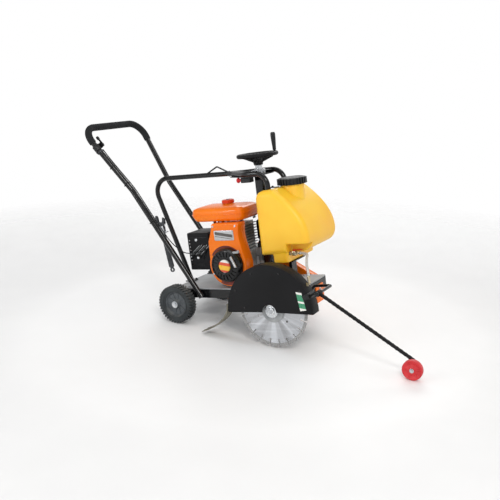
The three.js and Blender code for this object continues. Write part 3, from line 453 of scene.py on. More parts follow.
def block(low, high):
    bm = bmesh.new()
    bmesh.ops.create_cube(bm, size=1)
    low, high = Vector(low), Vector(high)
    place = Matrix.Translation((low + high) / 2) @ Matrix.Diagonal((*(high - low), 1))
    return moved(bm, place)


def merged(*parts):
    """Several shapes in one mesh."""
    whole = bmesh.new()
    for part in parts:
        holder = bpy.data.meshes.new("part")
        part.to_mesh(holder)
        part.free()
        whole.from_mesh(holder)
        bpy.data.meshes.remove(holder)
    return whole


def show(bm, name="shape"):
    """A Blender object that holds a shape."""
    mesh = bpy.data.meshes.new(name)
    bm.to_mesh(mesh)
    bm.free()
    made = bpy.data.objects.new(name, mesh)
    bpy.context.scene.collection.objects.link(made)
    return made


def settled(holder):
    """A holder's shape with its modifiers applied; the holder goes."""
    bpy.context.view_layer.update()
    graph = bpy.context.evaluated_depsgraph_get()
    mesh = bpy.data.meshes.new_from_object(holder.evaluated_get(graph))
    bpy.data.objects.remove(holder)
    bm = bmesh.new()
    bm.from_mesh(mesh)
    bpy.data.meshes.remove(mesh)
    return bm


def boolean(base, tools, operation):
    target = show(base)
    cutters = [show(tool) for tool in tools]
    for cutter in cutters:
        modifier = target.modifiers.new("boolean", "BOOLEAN")
        modifier.operation = operation
        modifier.solver = "EXACT"
        modifier.object = cutter
    bm = settled(target)
    for cutter in cutters:
        bpy.data.objects.remove(cutter)
    return bm


def carved(base, *tools):
    return boolean(base, tools, "DIFFERENCE")


def fused(base, *tools):
    return boolean(base, tools, "UNION")


def remoulded(bm, voxel, rounds):
    """The same shape with every edge softened, as blow-moulding leaves it."""
    holder = show(bm)
    remesh = holder.modifiers.new("remesh", "REMESH")
    remesh.mode = "VOXEL"
    remesh.voxel_size = voxel
    smooth = holder.modifiers.new("smooth", "SMOOTH")
    smooth.factor = 0.5
    smooth.iterations = rounds
    return settled(holder)


def plate(loops, low, high, axis="Y", edge=0.0, rounds=3):
    """A flat plate from one outline, or an outline and its holes, with rounded edges."""
    curve = bpy.data.curves.new("plate", "CURVE")
    curve.dimensions = "2D"
    curve.fill_mode = "BOTH"
    curve.extrude = (high - low) / 2 - edge
    curve.bevel_depth = edge
    curve.bevel_resolution = rounds
    curve.offset = -edge
    for loop in loops:
        spline = curve.splines.new("POLY")
        spline.points.add(len(loop) - 1)
        for point, (u, v) in zip(spline.points, loop):
            point.co = (u, v, 0, 1)
        spline.use_cyclic_u = True
    holder = bpy.data.objects.new("plate", curve)
    bpy.context.scene.collection.objects.link(holder)
    bm = settled(holder)
    bmesh.ops.remove_doubles(bm, verts=bm.verts, dist=0.001)
    for vert in bm.verts:
        u, v, w = vert.co
        h = w + (low + high) / 2
        vert.co = {"X": (h, u, v), "Y": (u, h, v), "Z": (u, v, h)}[axis]
    bmesh.ops.recalc_face_normals(bm, faces=bm.faces)
    return bm


def quadratic(a, b, c, steps=10):
    return [tuple(Vector(a) * (1 - t) ** 2 + Vector(b) * 2 * t * (1 - t) + Vector(c) * t * t)
            for t in (i / steps for i in range(steps + 1))]


def cubic(a, b, c, d, steps=18):
    return [tuple(Vector(a) * (1 - t) ** 3 + Vector(b) * 3 * t * (1 - t) ** 2
                  + Vector(c) * 3 * t * t * (1 - t) + Vector(d) * t ** 3)
            for t in (i / steps for i in range(steps + 1))]


def arc(cx, cy, radius, start, end, steps=24):
    return [(cx + radius * math.cos(start + (end - start) * i / steps),
             cy + radius * math.sin(start + (end - start) * i / steps)) for i in range(steps + 1)]


def circle(cx, cy, radius, steps=32):
    return arc(cx, cy, radius, 0, TAU, steps)[:-1]


def rounded(x0, x1, y0, y1, radius, steps=8):
    q = math.pi / 2
    return (arc(x1 - radius, y0 + radius, radius, -q, 0, steps)
            + arc(x1 - radius, y1 - radius, radius, 0, q, steps)
            + arc(x0 + radius, y1 - radius, radius, q, 2 * q, steps)
            + arc(x0 + radius, y0 + radius, radius, 2 * q, 3 * q, steps))


def bolt(at, axis, across=10.0, head=5.0):
    """A hexagon head on a washer, seated at a place and facing along an axis."""
    r = across / 2
    return pointed(merged(
        turned([(0, 0), (r * 1.7, 0), (r * 1.7, 1.2), (0, 1.2)], sides=24),
        turned([(0, 1), (r * 1.15, 1), (r * 1.15, head), (r * 0.95, head + 0.8), (0, head + 0.8)], sides=6),
    ), at, axis)


# ------------------------------------------------------------------ pieces

def shade(mesh, angle):
    for polygon in mesh.polygons:
        polygon.use_smooth = True
    mesh.set_sharp_from_angle(angle=math.radians(angle))


def piece(name, bm, material, body, edge=0.0, smooth=32.0, replaces=()):
    """Puts a shape on its body, with softly rounded edges of so many millimetres."""
    moved(bm, CHASSIS)
    made = show(bm, name)
    made.data.materials.append(material)
    shade(made.data, smooth)
    if edge:
        bevel = made.modifiers.new("edge", "BEVEL")
        bevel.width = edge * MM
        bevel.segments = 2
        bevel.limit_method = "ANGLE"
        bevel.angle_limit = math.radians(40)
        bevel.harden_normals = True
    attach(made, body)
    if replaces:
        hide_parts(*replaces)
    return made


def instead(node, bm, material, edge=0.0, smooth=32.0):
    """A finer piece that stands for a CAD node."""
    return piece(node + "_fine", bm, material, BODY_OF[node], edge, smooth, (node,))


def dress(node, material, edge=0.6):
    """Gives a CAD node its finish and softened edges."""
    made = frame["nodes"][node]
    for slot in made.material_slots:
        slot.material = material
    weld = made.modifiers.new("weld", "WELD")
    weld.merge_threshold = 0.00001
    if edge:
        bevel = made.modifiers.new("edge", "BEVEL")
        bevel.width = edge * MM
        bevel.segments = 2
        bevel.limit_method = "ANGLE"
        bevel.angle_limit = math.radians(40)
        bevel.harden_normals = True


# ------------------------------------------------------------------ chassis and wheels

SKIRT_Y = 150
AXLE_END = 244


def make_chassis():
    dress("chassis_frame", BLACK_GLOSS, 1.2)
    # The deck plate's grey is painted reflection of the studio on black gloss.
    dress("deck_plate", DECK_REFLECTION_GREY, 1.0)
    dress("rear_axle", ZINC, 1.0)
    deck_top = span("deck_plate")[1].z
    bolts = [bolt((x, y, deck_top), Z, 11) for x in (20, 560) for y in (-128, 128)]
    bolts += [bolt((x, -SKIRT_Y, 38), -Y, 9) for x in (540, 624)]
    bolts += [bolt((x, SKIRT_Y, 38), Y, 9) for x in (90, 142)]
    piece("chassis_bolts", merged(*bolts), ZINC, ROOT, 0.3)


def tread_block(angle, y0, y1, lean, width, r0, r1):
    """One lug of a tyre, leaning along the tread."""
    bm = block((-width / 2, y0, r0), (width / 2, y1, r1))
    for vert in bm.verts:
        vert.co.x += lean * (vert.co.y - y0) / (y1 - y0)
        if vert.co.z > (r0 + r1) / 2:
            vert.co.x *= 0.88
    return moved(bm, Matrix.Rotation(angle, 4, "Y"))


def make_rear_wheels():
    for side, name in ((-1, "right"), (1, "left")):
        low, high = span("rear_tyre_" + name)
        mid = (low.y + high.y) / 2
        half, r = (high.y - low.y) / 2, (high.x - low.x) / 2
        at = (0, mid, 0)
        tyre = turned([(62, -20), (66, -24), (82, -half + 2), (88, -half + 4), (r - 7, -half + 10),
                       (r - 6, -8), (r - 6, 8), (r - 7, half - 10), (88, half - 4), (82, half - 2),
                       (66, 24), (62, 20)], at, Y, 96)
        ribs = [turned([(ring - 1, -1), (ring + 1, -1), (ring + 1, 1), (ring - 1, 1)],
                       (0, mid + s * (half - 1.2), 0), Y, 96) for ring in (72, 88) for s in (-1, 1)]
        lugs = []
        count = 38
        for i in range(count):
            angle = TAU * i / count
            lugs.append(tread_block(angle, mid - half + 1, mid - 5, 7, 9.5, r - 13, r - 0.3))
            lugs.append(tread_block(angle + TAU / count / 2, mid + 5, mid + half - 1, -7, 9.5, r - 13,
                                    r - 0.3))
            if i % 2 == 0:
                lugs.append(tread_block(angle, mid - 4, mid + 4, 3, 10, r - 8, r - 0.5))
        instead("rear_tyre_" + name, merged(tyre, *ribs, *lugs), TYRE, 0.5)

        face = [(10.8, -22), (19, -22), (20, -14), (26, -5), (55, -6), (58, -14), (61.7, -18), (61.7, 18),
                (58, 14), (55, 6), (26, 5), (20, 14), (19, 22), (10.8, 22)]
        rim = turned(face, at, Y, 72)
        spokes = []
        for i in range(10):
            for s in (-1, 1):
                web = block((20, s * 4 - 3, -2), (58, s * 4 + 3, 2))
                for vert in web.verts:
                    if vert.co.y * s > 4:
                        vert.co.y = s * (11 if vert.co.x < 40 else 8)
                spokes.append(shifted(moved(web, Matrix.Rotation(TAU * i / 10, 4, "Y")), 0, mid, 0))
        instead("rear_rim_" + name, merged(rim, *spokes), RIM_GREY, 0.5)
        tip = (0, side * AXLE_END, 0)
        cap = turned([(0, 0), (9, 0), (9, 3), (7.5, 5), (4, 5.5), (4, 7.6), (0, 7.6)], tip, side * Y, 32)
        collar = turned([(10.2, 0), (17, 0), (17, 2), (10.2, 2)], tip, side * Y, 32)
        piece("hub_washer_" + name, collar, ZINC, BODY_OF["rear_rim_" + name], 0.3)
        piece("axle_cap_" + name, cap, ZINC, ROOT, 0.5)


# ------------------------------------------------------------------ handlebar and throttle

LEG_FOOT = (116, 164.4, 20)
LEG_BEND = (-230, 164.4, 585)
BAR_END = (-441, 239, 926)
BAR_BEND = 76
LEG_R = 14


def mirrored(point):
    return (point[0], -point[1], point[2])


def between(a, b, share):
    return Vector(a).lerp(Vector(b), share)


def zip_tie(line_start, line_end, share, radius=LEG_R + 5):
    """A narrow strap round a tube and the cable on it, with its clipped tail."""
    at = between(line_start, line_end, share)
    along = (Vector(line_end) - Vector(line_start)).normalized()
    strap = turned([(radius - 1, -1.6), (radius, -1.6), (radius, 1.6), (radius - 1, 1.6)], at, along, 32)
    head = shifted(block((-3, -2.5, -2.5), (3, 2.5, 2.5)), *(at + Vector((10, -14, 8))))
    tail = rod(0.9, at + Vector((10, -14, 8)), at + Vector((19, -19, 16)), 6)
    return merged(strap, head, tail)


def make_handlebar():
    corners = [mirrored(LEG_FOOT), mirrored(LEG_BEND), mirrored(BAR_END), BAR_END, LEG_BEND, LEG_FOOT]
    line = bent(corners, BAR_BEND, 12)
    bar = swept(line, LEG_R, 32)
    feet = [merged(rod(15.5, between(f, b, -0.001), between(f, b, 0.03), 24),
                   turned([(14, -2), (17, -2), (16, 2), (14, 2)], between(f, b, 0.031),
                          Vector(b) - Vector(f), 24))
            for f, b in ((LEG_FOOT, LEG_BEND), (mirrored(LEG_FOOT), mirrored(LEG_BEND)))]
    instead("handlebar", merged(bar, *feet), BLACK_GLOSS, 0.8)
    grip = bent([mirrored(between(BAR_END, LEG_BEND, 0.235)), mirrored(BAR_END), BAR_END,
                 between(BAR_END, LEG_BEND, 0.29)], BAR_BEND, 14)

    def soft_end(share):
        near = min(share, 1 - share)
        return LEG_R + 4.3 - 2.2 * max(0.0, 1 - near / 0.012) ** 2

    dense = []
    for a, b in zip(grip, grip[1:]):
        dense += [a.lerp(b, i / 6) for i in range(6)]
    instead("handlebar_grip", swept(dense + [grip[-1]], soft_end, 32), FOAM, 1.5)


def make_throttle():
    dress("throttle_clamp", BLACK_PLASTIC, 1.0)
    dress("throttle_lever", BLACK_PLASTIC, 1.2)
    top, knee, foot = mirrored(BAR_END), mirrored(LEG_BEND), mirrored(LEG_FOOT)
    clear = LEG_R + 2.8

    def beside(start, end, share, away=clear):
        axis = (Vector(end) - Vector(start)).normalized()
        side = Vector((0.75, 0.6, 0.3))
        side -= side.dot(axis) * axis
        return between(start, end, share) + side.normalized() * away

    route = [beside(top, knee, 0.36, clear + 2), beside(top, knee, 0.5), beside(top, knee, 0.75),
             beside(top, knee, 1), beside(knee, foot, 0.2), beside(knee, foot, 0.38, clear + 1),
             beside(knee, foot, 0.52, clear + 6), (22, -130, 244), (110, -128, 246), (168, -122, 262),
             (178, -98, 264), (209, -70, 264)]
    instead("throttle_cable", swept(flowing(route, 8), 2.5, 12), BLACK_MATT)
    ferrule = rod(3.6, route[0], Vector(route[0]).lerp(Vector(route[1]), 0.12), 12)
    piece("cable_ferrule", ferrule, ZINC, ROOT, 0.3)
    ring_at = between(mirrored(BAR_END), mirrored(LEG_BEND), 0.375)
    along = Vector(mirrored(LEG_BEND)) - Vector(mirrored(BAR_END))
    ring = turned([(14.3, -5), (18, -5), (18.6, -3), (18.6, 3), (18, 5), (14.3, 5)], ring_at, along, 40)
    screw = bolt(ring_at + Vector((-6, -18, -2)), (-0.3, -1, -0.1), 7, 4)
    piece("clamp_ring", merged(ring, screw), DARK_STEEL, ROOT, 0.4)
    ties = [zip_tie(top, knee, 0.62), zip_tie(top, knee, 0.9), zip_tie(knee, foot, 0.3)]
    piece("zip_ties", merged(*ties), BLACK_PLASTIC, ROOT, 0.2)


# ------------------------------------------------------------------ hoop, mast, depth wheel

FORK_Y, FORK_X, FORK_TOP = 90, 527, 615
HOOP_R = 12.5
FOOT_Z = 62.3


def weld_bead(at, axis, radius, width=3.0):
    """The rounded bead round a tube where it is welded on."""
    section = [(radius + width * math.cos(a) - 0.5, width * math.sin(a)) for a in ring_angles(8)]
    return turned(section, at, axis, 32)


def make_hoop():
    crotch = (268, 0, FORK_TOP + 2)
    spine = swept(bent([(-51, 0, FOOT_Z + 4), (-222, 0, FORK_TOP + 4), crotch], 75, 14), HOOP_R, 28)
    branches = [swept(bent([(262, 0, FORK_TOP + 2), (300, s * 16, FORK_TOP + 1), (410, s * FORK_Y, FORK_TOP),
                            (FORK_X, s * FORK_Y, FORK_TOP), (FORK_X, s * FORK_Y, FOOT_Z)], 62, 12),
                      HOOP_R, 28) for s in (-1, 1)]
    feet, beads = [], []
    for x, y in ((-50, 0), (FORK_X, -FORK_Y), (FORK_X, FORK_Y)):
        feet.append(plate([rounded(x - 26, x + 26, y - 26, y + 26, 6)], FOOT_Z, FOOT_Z + 6, "Z", 0.8))
        beads.append(weld_bead((x, y, FOOT_Z + 6), Z, HOOP_R))
        for dx in (-17, 17):
            feet.append(bolt((x + dx, y + (17 if y >= 0 else -17), FOOT_Z + 6), Z, 9))
    eye = swept(bent([(134, 0, FORK_TOP + 10), (199, 0, FORK_TOP + 42), (262, 0, FORK_TOP + 10)], 12, 6),
                4, 14)
    beads.append(weld_bead((268, 0, FORK_TOP + 2), X, HOOP_R))
    instead("hoop_frame", merged(spine, *branches, *feet, *beads, eye), BLACK_GLOSS, 0.5)
    dress("control_plate", BLACK_GLOSS, 0.8)
    dress("switch_box", BLACK_PLASTIC, 0.4)
    low, high = span("stop_button")
    y, z = (low.y + high.y) / 2, (low.z + high.z) / 2
    button = turned([(0, 0), (7.4, 0), (7.4, 19), (10, 19.5), (13, 22), (13, 26), (11, 30), (6, 31),
                     (0, 31)], (high.x, y, z), -X, 40)
    instead("stop_button", button, RED, 0.4)


def make_depth_gear():
    dress("mast", BLACK_GLOSS, 1.5)
    dress("lift_rod", ZINC, 0.8)
    dress("screw_clamp", STEEL, 1.0)
    x = middle("mast").x
    screw_low, screw_high = span("depth_screw")
    pitch_mm, root, crest, thread_top = 4.0, 8.9, 9.9, 627
    thread = []
    z = screw_low.z
    while z < thread_top:
        thread += [(root, z), (crest, z + pitch_mm * 0.3), (crest, z + pitch_mm * 0.55),
                   (root, z + pitch_mm * 0.9)]
        z += pitch_mm
    shaft = [(0, screw_low.z)] + thread + [(9.9, 628.4), (16.8, 628.4), (16.8, 645.6), (9.9, 646),
                                          (9.9, 671), (8.6, screw_high.z), (0, screw_high.z)]
    instead("depth_screw", turned(shaft, (x, 0, 0), Z, 28), ZINC)
    nut = turned([(10.2, 661), (19, 661), (19, 671), (17, 672.5), (10.2, 672.5)], (x, 0, 19.6), Z, 6)
    piece("wheel_nut", nut, ZINC, BODY_OF["handwheel"], 0.5)

    rim = [(10.4, 648), (20, 648), (22, 650), (25, 664), (60, 678), (86, 691), (91, 688), (97, 688.5),
           (101.5, 692), (103, 698), (101.5, 704), (97, 707.6), (91, 708), (85, 704.5), (60, 690.5),
           (26, 679), (22, 680), (10.4, 680)]
    dish = turned(rim, (x, 0, 0), Z, 96)
    windows = []
    for i in range(4):
        at = (i + 0.5) * TAU / 4
        loop = arc(x, 0, 75, at - 0.5, at + 0.5, 12) + arc(x, 0, 38, at + 0.36, at - 0.36, 8)
        windows.append(plate([loop], 640, 715, "Z"))
    wheel = carved(dish, *windows)
    gx, gy = x + 86 * math.cos(math.radians(22)), 86 * math.sin(math.radians(22))
    boss = turned([(0, 695), (9, 695), (9, 709), (6.5, 710.5), (5, 710.5), (5, 750), (0, 750)],
                  (gx, gy, 0), Z, 28)
    ribs = [moved(block((22, -3.2, 652), (84, 3.2, 668)), Matrix.Translation((x, 0, 0))
                  @ Matrix.Rotation(i * TAU / 4, 4, "Z")) for i in range(4)]
    for rib in ribs:
        for vert in rib.verts:
            reach = math.hypot(vert.co.x - x, vert.co.y)
            vert.co.z = (vert.co.z - 652) / 16 * 8 + (660 if reach < 50 else 684)
    instead("handwheel", merged(wheel, boss, *ribs), BLACK_MATT, 0.6)
    handle = turned([(5.8, 712), (8, 712), (8.6, 716), (9, 728), (11, 756), (12, 776), (12, 790),
                     (10.5, 795.5), (7, 798), (0, 798), (0, 754), (5.8, 754)], (gx, gy, 0), Z, 36)
    instead("handwheel_grip", handle, BLACK_PLASTIC, 0.4)
    set_screw = merged(rod(4, (x - 60, -6, 618), (x - 40, -6, 618), 12),
                       turned([(0, 0), (9, 0), (9, 10), (7, 12), (0, 12)], (x - 48, -6, 618), -X, 20))
    piece("set_screw", set_screw, BLACK_PLASTIC, ROOT, 0.4)
    piece("clamp_bolts", merged(bolt((x - 10, -24, 614), -Y, 8), bolt((x + 12, -24, 614), -Y, 8),
                                bolt((x + 24, 0, 614), X, 8)), ZINC, ROOT, 0.3)


# ------------------------------------------------------------------ depth arm and front wheels

def make_front_wheels():
    dress("front_arm", BLACK_GLOSS, 0.8)
    for name in ("right", "left"):
        low, high = span("front_wheel_" + name)
        at = (low + high) / 2
        r, half = (high.x - low.x) / 2, (high.y - low.y) / 2
        tread = [(34, -half + 3), (42, -half), (r - 3, -half + 2), (r - 0.2, -half + 7), (r - 0.2, half - 7),
                 (r - 3, half - 2), (42, half), (34, half - 3)]
        hub = [(8.8, -half), (15, -half), (17, -half + 5), (33.8, -half + 8), (33.8, half - 8),
               (17, half - 5), (15, half), (8.8, half)]
        instead("front_wheel_" + name, turned(tread, at, Y, 72), TYRE, 0.6)
        piece("front_hub_" + name, turned(hub, at, Y, 48), RIM_GREY, BODY_OF["front_wheel_" + name], 0.5)


# ------------------------------------------------------------------ arbor, blade and drive

ARBOR = Vector((582, 0, -3))
BLADE_Y, BLADE_R, SEGMENTS = -272, 175, 21


def make_arbor():
    at = tuple(ARBOR)
    shaft = turned([(0, -300), (11, -300), (12.5, -298), (12.5, -270.1), (57.5, -270.1), (58, -268),
                    (57, -262), (24, -259.4), (22, -259), (22, -240), (12.5, -240), (12.5, 198.5),
                    (11, 200), (0, 200)], at, Y, 64)
    instead("arbor_shaft", shaft, STEEL, 0.3)
    face = -273.6
    flange = turned([(12.8, face - 0.3), (57.4, face - 0.3), (58, face - 1), (58, face - 5.5),
                     (56.5, face - 7.4), (34, face - 9.4), (31, face - 11), (12.8, face - 11)], at, Y, 72)
    instead("outer_flange", flange, ALUMINIUM, 0.6)
    nut_face = face - 11.3
    nut = merged(turned([(12.8, nut_face - 8), (31, nut_face - 8), (33, nut_face - 6.5), (33, nut_face),
                         (12.8, nut_face)], at, Y, 56),
                 turned([(12.8, nut_face - 15), (17, nut_face - 15), (18.6, nut_face - 13.6),
                         (18.6, nut_face - 7.9), (12.8, nut_face - 7.9)], at, Y, 6))
    instead("arbor_nut", nut, ZINC, 0.4)
    for name in ("right", "left"):
        dress("bearing_" + name, DARK_STEEL, 1.2)


def make_blade():
    step = TAU / SEGMENTS
    slot_half, key_r, key_at, core_r = 3.6, 5.6, BLADE_R - 29, BLADE_R - 14
    slot_top = math.sqrt(core_r ** 2 - slot_half ** 2)
    mouth = math.asin(slot_half / key_r)
    gap = 4 / BLADE_R
    cx, cz = ARBOR.x, ARBOR.z

    def spot(angle, along, across):
        c, s = math.cos(angle), math.sin(angle)
        return (cx + c * along - s * across, cz + s * along + c * across)

    outline = []
    for i in range(SEGMENTS):
        a = i * step
        outline.append(spot(a, slot_top, -slot_half))
        outline += [spot(a, key_at + key_r * math.cos(t), key_r * math.sin(t))
                    for t in (-mouth - k * (TAU - 2 * mouth) / 10 for k in range(11))]
        outline.append(spot(a, slot_top, slot_half))
        outline += [spot(a + step * (0.12 + 0.76 * k / 6), core_r, 0) for k in range(7)]
    holes = [circle(cx, cz, 12.9, 24)]
    holes += [circle(cx + 84 * math.cos(t), cz + 84 * math.sin(t), 5.5, 20) for t in (1.4, 3.5, 5.6)]
    core = plate([outline] + holes, BLADE_Y - 1.3, BLADE_Y + 1.3, "Y", 0.15, 1)
    instead("saw_blade", core, BLADE_STEEL)
    rim = []
    for i in range(SEGMENTS):
        start, end = i * step + gap, (i + 1) * step - gap
        loop = arc(cx, cz, BLADE_R - 0.1, start, end, 8) + arc(cx, cz, core_r - 0.6, end, start, 8)
        rim.append(plate([loop], BLADE_Y - 1.6, BLADE_Y + 1.6, "Y", 0.3, 1))
    piece("blade_segments", merged(*rim), GRIT, BODY_OF["saw_blade"])


def belt_loop(a, radius_a, b, radius_b, steps=28):
    heading = math.atan2(b[1] - a[1], b[0] - a[0])
    spread = math.acos((radius_a - radius_b) / math.hypot(b[0] - a[0], b[1] - a[1]))
    return (arc(*a, radius_a, heading + spread, heading + TAU - spread, steps)
            + arc(*b, radius_b, heading - spread, heading + spread, steps))


CRANK = (285, 180)


def make_drive():
    arbor = (ARBOR.x, ARBOR.z)
    y, half = 180, 12

    def sheave(radius, bore):
        grooves = []
        for middle_y in (y - 5.2, y + 5.2):
            grooves += [(radius, middle_y - 4.6), (radius - 8, middle_y - 2), (radius - 8, middle_y + 2),
                        (radius, middle_y + 4.6)]
        return ([(bore, y - half - 5), (23.5, y - half - 5), (24, y - half), (radius, y - half)] + grooves
                + [(radius, y + half), (bore, y + half)])

    instead("driven_pulley", turned(sheave(42, 12.9), (arbor[0], 0, arbor[1]), Y, 56), DARK_STEEL, 0.3)
    stub = turned([(0, 126.5), (12.5, 126.5), (12.5, y + half + 5), (11, y + half + 6), (0, y + half + 6)],
                  (CRANK[0], 0, CRANK[1]), Y, 32)
    driver = turned(sheave(38, 12.4), (CRANK[0], 0, CRANK[1]), Y, 56)
    instead("drive_pulley", merged(driver, stub), DARK_STEEL, 0.3)
    belts = [plate([belt_loop(CRANK, 38.6, arbor, 42.6), belt_loop(CRANK, 30.8, arbor, 34.8)],
                   y + dy - 3.8, y + dy + 3.8, "Y", 0.8, 1) for dy in (-5.2, 5.2)]
    instead("v_belts", merged(*belts), TYRE)
    outer = plate([belt_loop(CRANK, 50, arbor, 54)], y - half - 6, y + half + 12, "Y", 4, 4)
    inner = plate([belt_loop(CRANK, 46, arbor, 50)], y - half - 8, y + half + 8, "Y", 2, 2)
    shell = carved(outer, inner)
    feet = []
    for x in (360, 500):
        wall_z = CRANK[1] + (ARBOR.z - CRANK[1]) * (x - CRANK[0]) / (ARBOR.x - CRANK[0]) - 60
        feet.append(block((x - 14, SKIRT_Y + 0.3, 20), (x + 14, y - half - 4, 26)))
        feet.append(block((x - 14, y - half - 8, min(20, wall_z)),
                          (x + 14, y - half - 4, max(26, wall_z + 6))))
    rib = plate([belt_loop(CRANK, 34, arbor, 38), belt_loop(CRANK, 30, arbor, 34)],
                y + half + 11, y + half + 13.4, "Y", 1.2, 2)
    screws = [bolt((x, y + half + 12, z), Y, 9) for x, z in ((CRANK[0], CRANK[1]), (ARBOR.x, ARBOR.z))]
    instead("belt_guard", merged(shell, rib, *feet), ORANGE, 0.5)
    piece("belt_guard_bolts", merged(*screws), ZINC, ROOT, 0.3)


# ------------------------------------------------------------------ blade guard

GUARD_R, GUARD_OUT, GUARD_IN = 222, -312, -246
GUARD_SINK = -5


def make_guard():
    at = tuple(ARBOR)
    end = math.asin(GUARD_SINK / GUARD_R)
    r, y0, y1 = GUARD_R, GUARD_OUT, GUARD_IN
    section = [(36, y0), (r - 5, y0), (r - 1.5, y0 + 1.5), (r, y0 + 5), (r, y1 - 5), (r - 1.5, y1 - 1.5),
               (r - 5, y1), (36, y1), (36, y1 - 3), (r - 5, y1 - 3), (r - 3, y1 - 5), (r - 3, y0 + 5),
               (r - 5, y0 + 3), (36, y0 + 3)]
    shell = turned(section, at, Y, 120, -math.pi + end, math.pi - 2 * end)
    beads = [turned([(r - 3 + 3 * math.cos(a) * 0.8, y + 2.2 * math.sin(a)) for a in ring_angles(8)],
                    at, Y, 120, -math.pi + end, math.pi - 2 * end) for y in (y0 + 2.3, y1 - 2.3)]
    x, z = ARBOR.x, ARBOR.z
    hinge = [block((x - 96, y1 - 1, 24), (x + 96, y1 + 5, 44))]
    hinge += [block((x + dx - 10, y1 - 1, 24), (x + dx + 10, -SKIRT_Y - 0.3, 40))
              for dx in (-76, 76)]
    hinge += [rod(6, (x - 92, y1 + 6, 46), (x + 92, y1 + 6, 46), 20)]
    instead("blade_guard", merged(shell, *beads, *hinge), BLACK_MATT, 0.5)

    turn = 0.37

    def on_rim(radius, angle):
        return (x + radius * math.cos(angle), z + radius * math.sin(angle))

    lap = 0.06
    strap = [plate([[on_rim(r - 30, turn + lap), on_rim(r + 3, turn + lap), on_rim(r + 3, turn - lap),
                     on_rim(r - 30, turn - lap)]], y0 - 1.8, y0, "Y", 0.6, 2),
             turned([(r - 1, y0 + 1), (r + 3, y0 - 1.6), (r + 3, y1 - 12), (r - 1, y1 - 10)], at, Y, 9,
                    -turn - lap, 2 * lap)]
    piece("guard_latch", merged(*strap), BLACK_GLOSS, ROOT, 0.4)
    dome = [(0, 0), (5, 0), (4.5, 1.4), (2.5, 2.4), (0, 2.6)]
    places = [on_rim(196, a) for a in (0.55, 1.2, 1.95, 2.6)] + [(x - 128, 16)]
    rivets = [turned(dome, (u, y0, v), -Y, 20) for u, v in places]
    piece("guard_rivets", merged(*rivets), BLACK_GLOSS, ROOT)
    label = plate([[(729, 96), (757, 92), (772, 12), (742, 8)]], y0 - 0.5, y0 + 0.1, "Y")
    piece("guard_label", label, STICKER, ROOT)


INLET_ANGLE = math.radians(33)


def inlet_at(radius):
    return Vector((ARBOR.x + radius * math.cos(INLET_ANGLE), BLADE_Y,
                   ARBOR.z + radius * math.sin(INLET_ANGLE)))


def make_inlet():
    x, y, z = inlet_at(GUARD_R + 16)
    elbow = swept(bent([inlet_at(GUARD_R + 0.6), (x, y, z), (x, y, z + 33)], 8, 8), 6.2, 20)
    out = inlet_at(GUARD_R + 10) - inlet_at(GUARD_R)
    collar = turned([(0, 0), (9, 0), (9, 5), (7.5, 7), (0, 7)], inlet_at(GUARD_R + 0.7), out, 6)
    barbs = [turned([(5, 0), (7.3, 0), (6.2, 5), (5, 5)], (x, y, z + 18 + 6 * i), Z, 24) for i in range(3)]
    instead("water_inlet", merged(elbow, collar, *barbs), BRASS, 0.4)


def make_flap():
    top, z, thick = ARBOR.x - GUARD_R - 0.3, ARBOR.z, 4.6
    y0, y1 = GUARD_OUT + 1, GUARD_IN - 1

    back = cubic((top - thick, z + 34), (top - thick, z - 22), (top - 58, z - 74), (top - 169, z - 108), 26)
    front = cubic((top, z + 34), (top, z - 26), (top - 54, z - 79), (top - 167.6, z - 111.6), 26)
    bm = bmesh.new()
    across = 9
    grid = []
    for line in (back, front):
        rows = []
        for i, (u, v) in enumerate(line):
            down = i / (len(line) - 1)
            rows.append([bm.verts.new((u, y0 + (y1 - y0) * j / (across - 1),
                                       v + 1.6 * down * math.sin(j * 1.7 + 2.2 * down)))
                         for j in range(across)])
        grid.append(rows)
    for rows in grid:
        bridge(bm, rows, closed_rings=False)
    for edge in (0, -1):
        bridge(bm, [[row[edge] for row in rows] for rows in grid], closed_rings=False)
    for edge in (0, -1):
        bridge(bm, [rows[edge] for rows in grid], closed_rings=False)
    bmesh.ops.recalc_face_normals(bm, faces=bm.faces)
    instead("splash_flap", bm, FLAP, 0.5)
    strip = block((top - thick - 3.5, y0 + 2, z + 14), (top - thick, y1 - 2, z + 32))
    studs = [bolt((top - thick - 3.4, y0 + 14 + 36 * i, z + 23), -X, 8) for i in range(2)]
    piece("flap_strip", merged(strip, *studs), BLACK_MATT, ROOT, 0.5)


# ------------------------------------------------------------------ water tank and feed

TANK = {"back": 488, "front": 746, "half": 170, "bottom": 229, "top": 538, "neck": 612, "sump": 193}


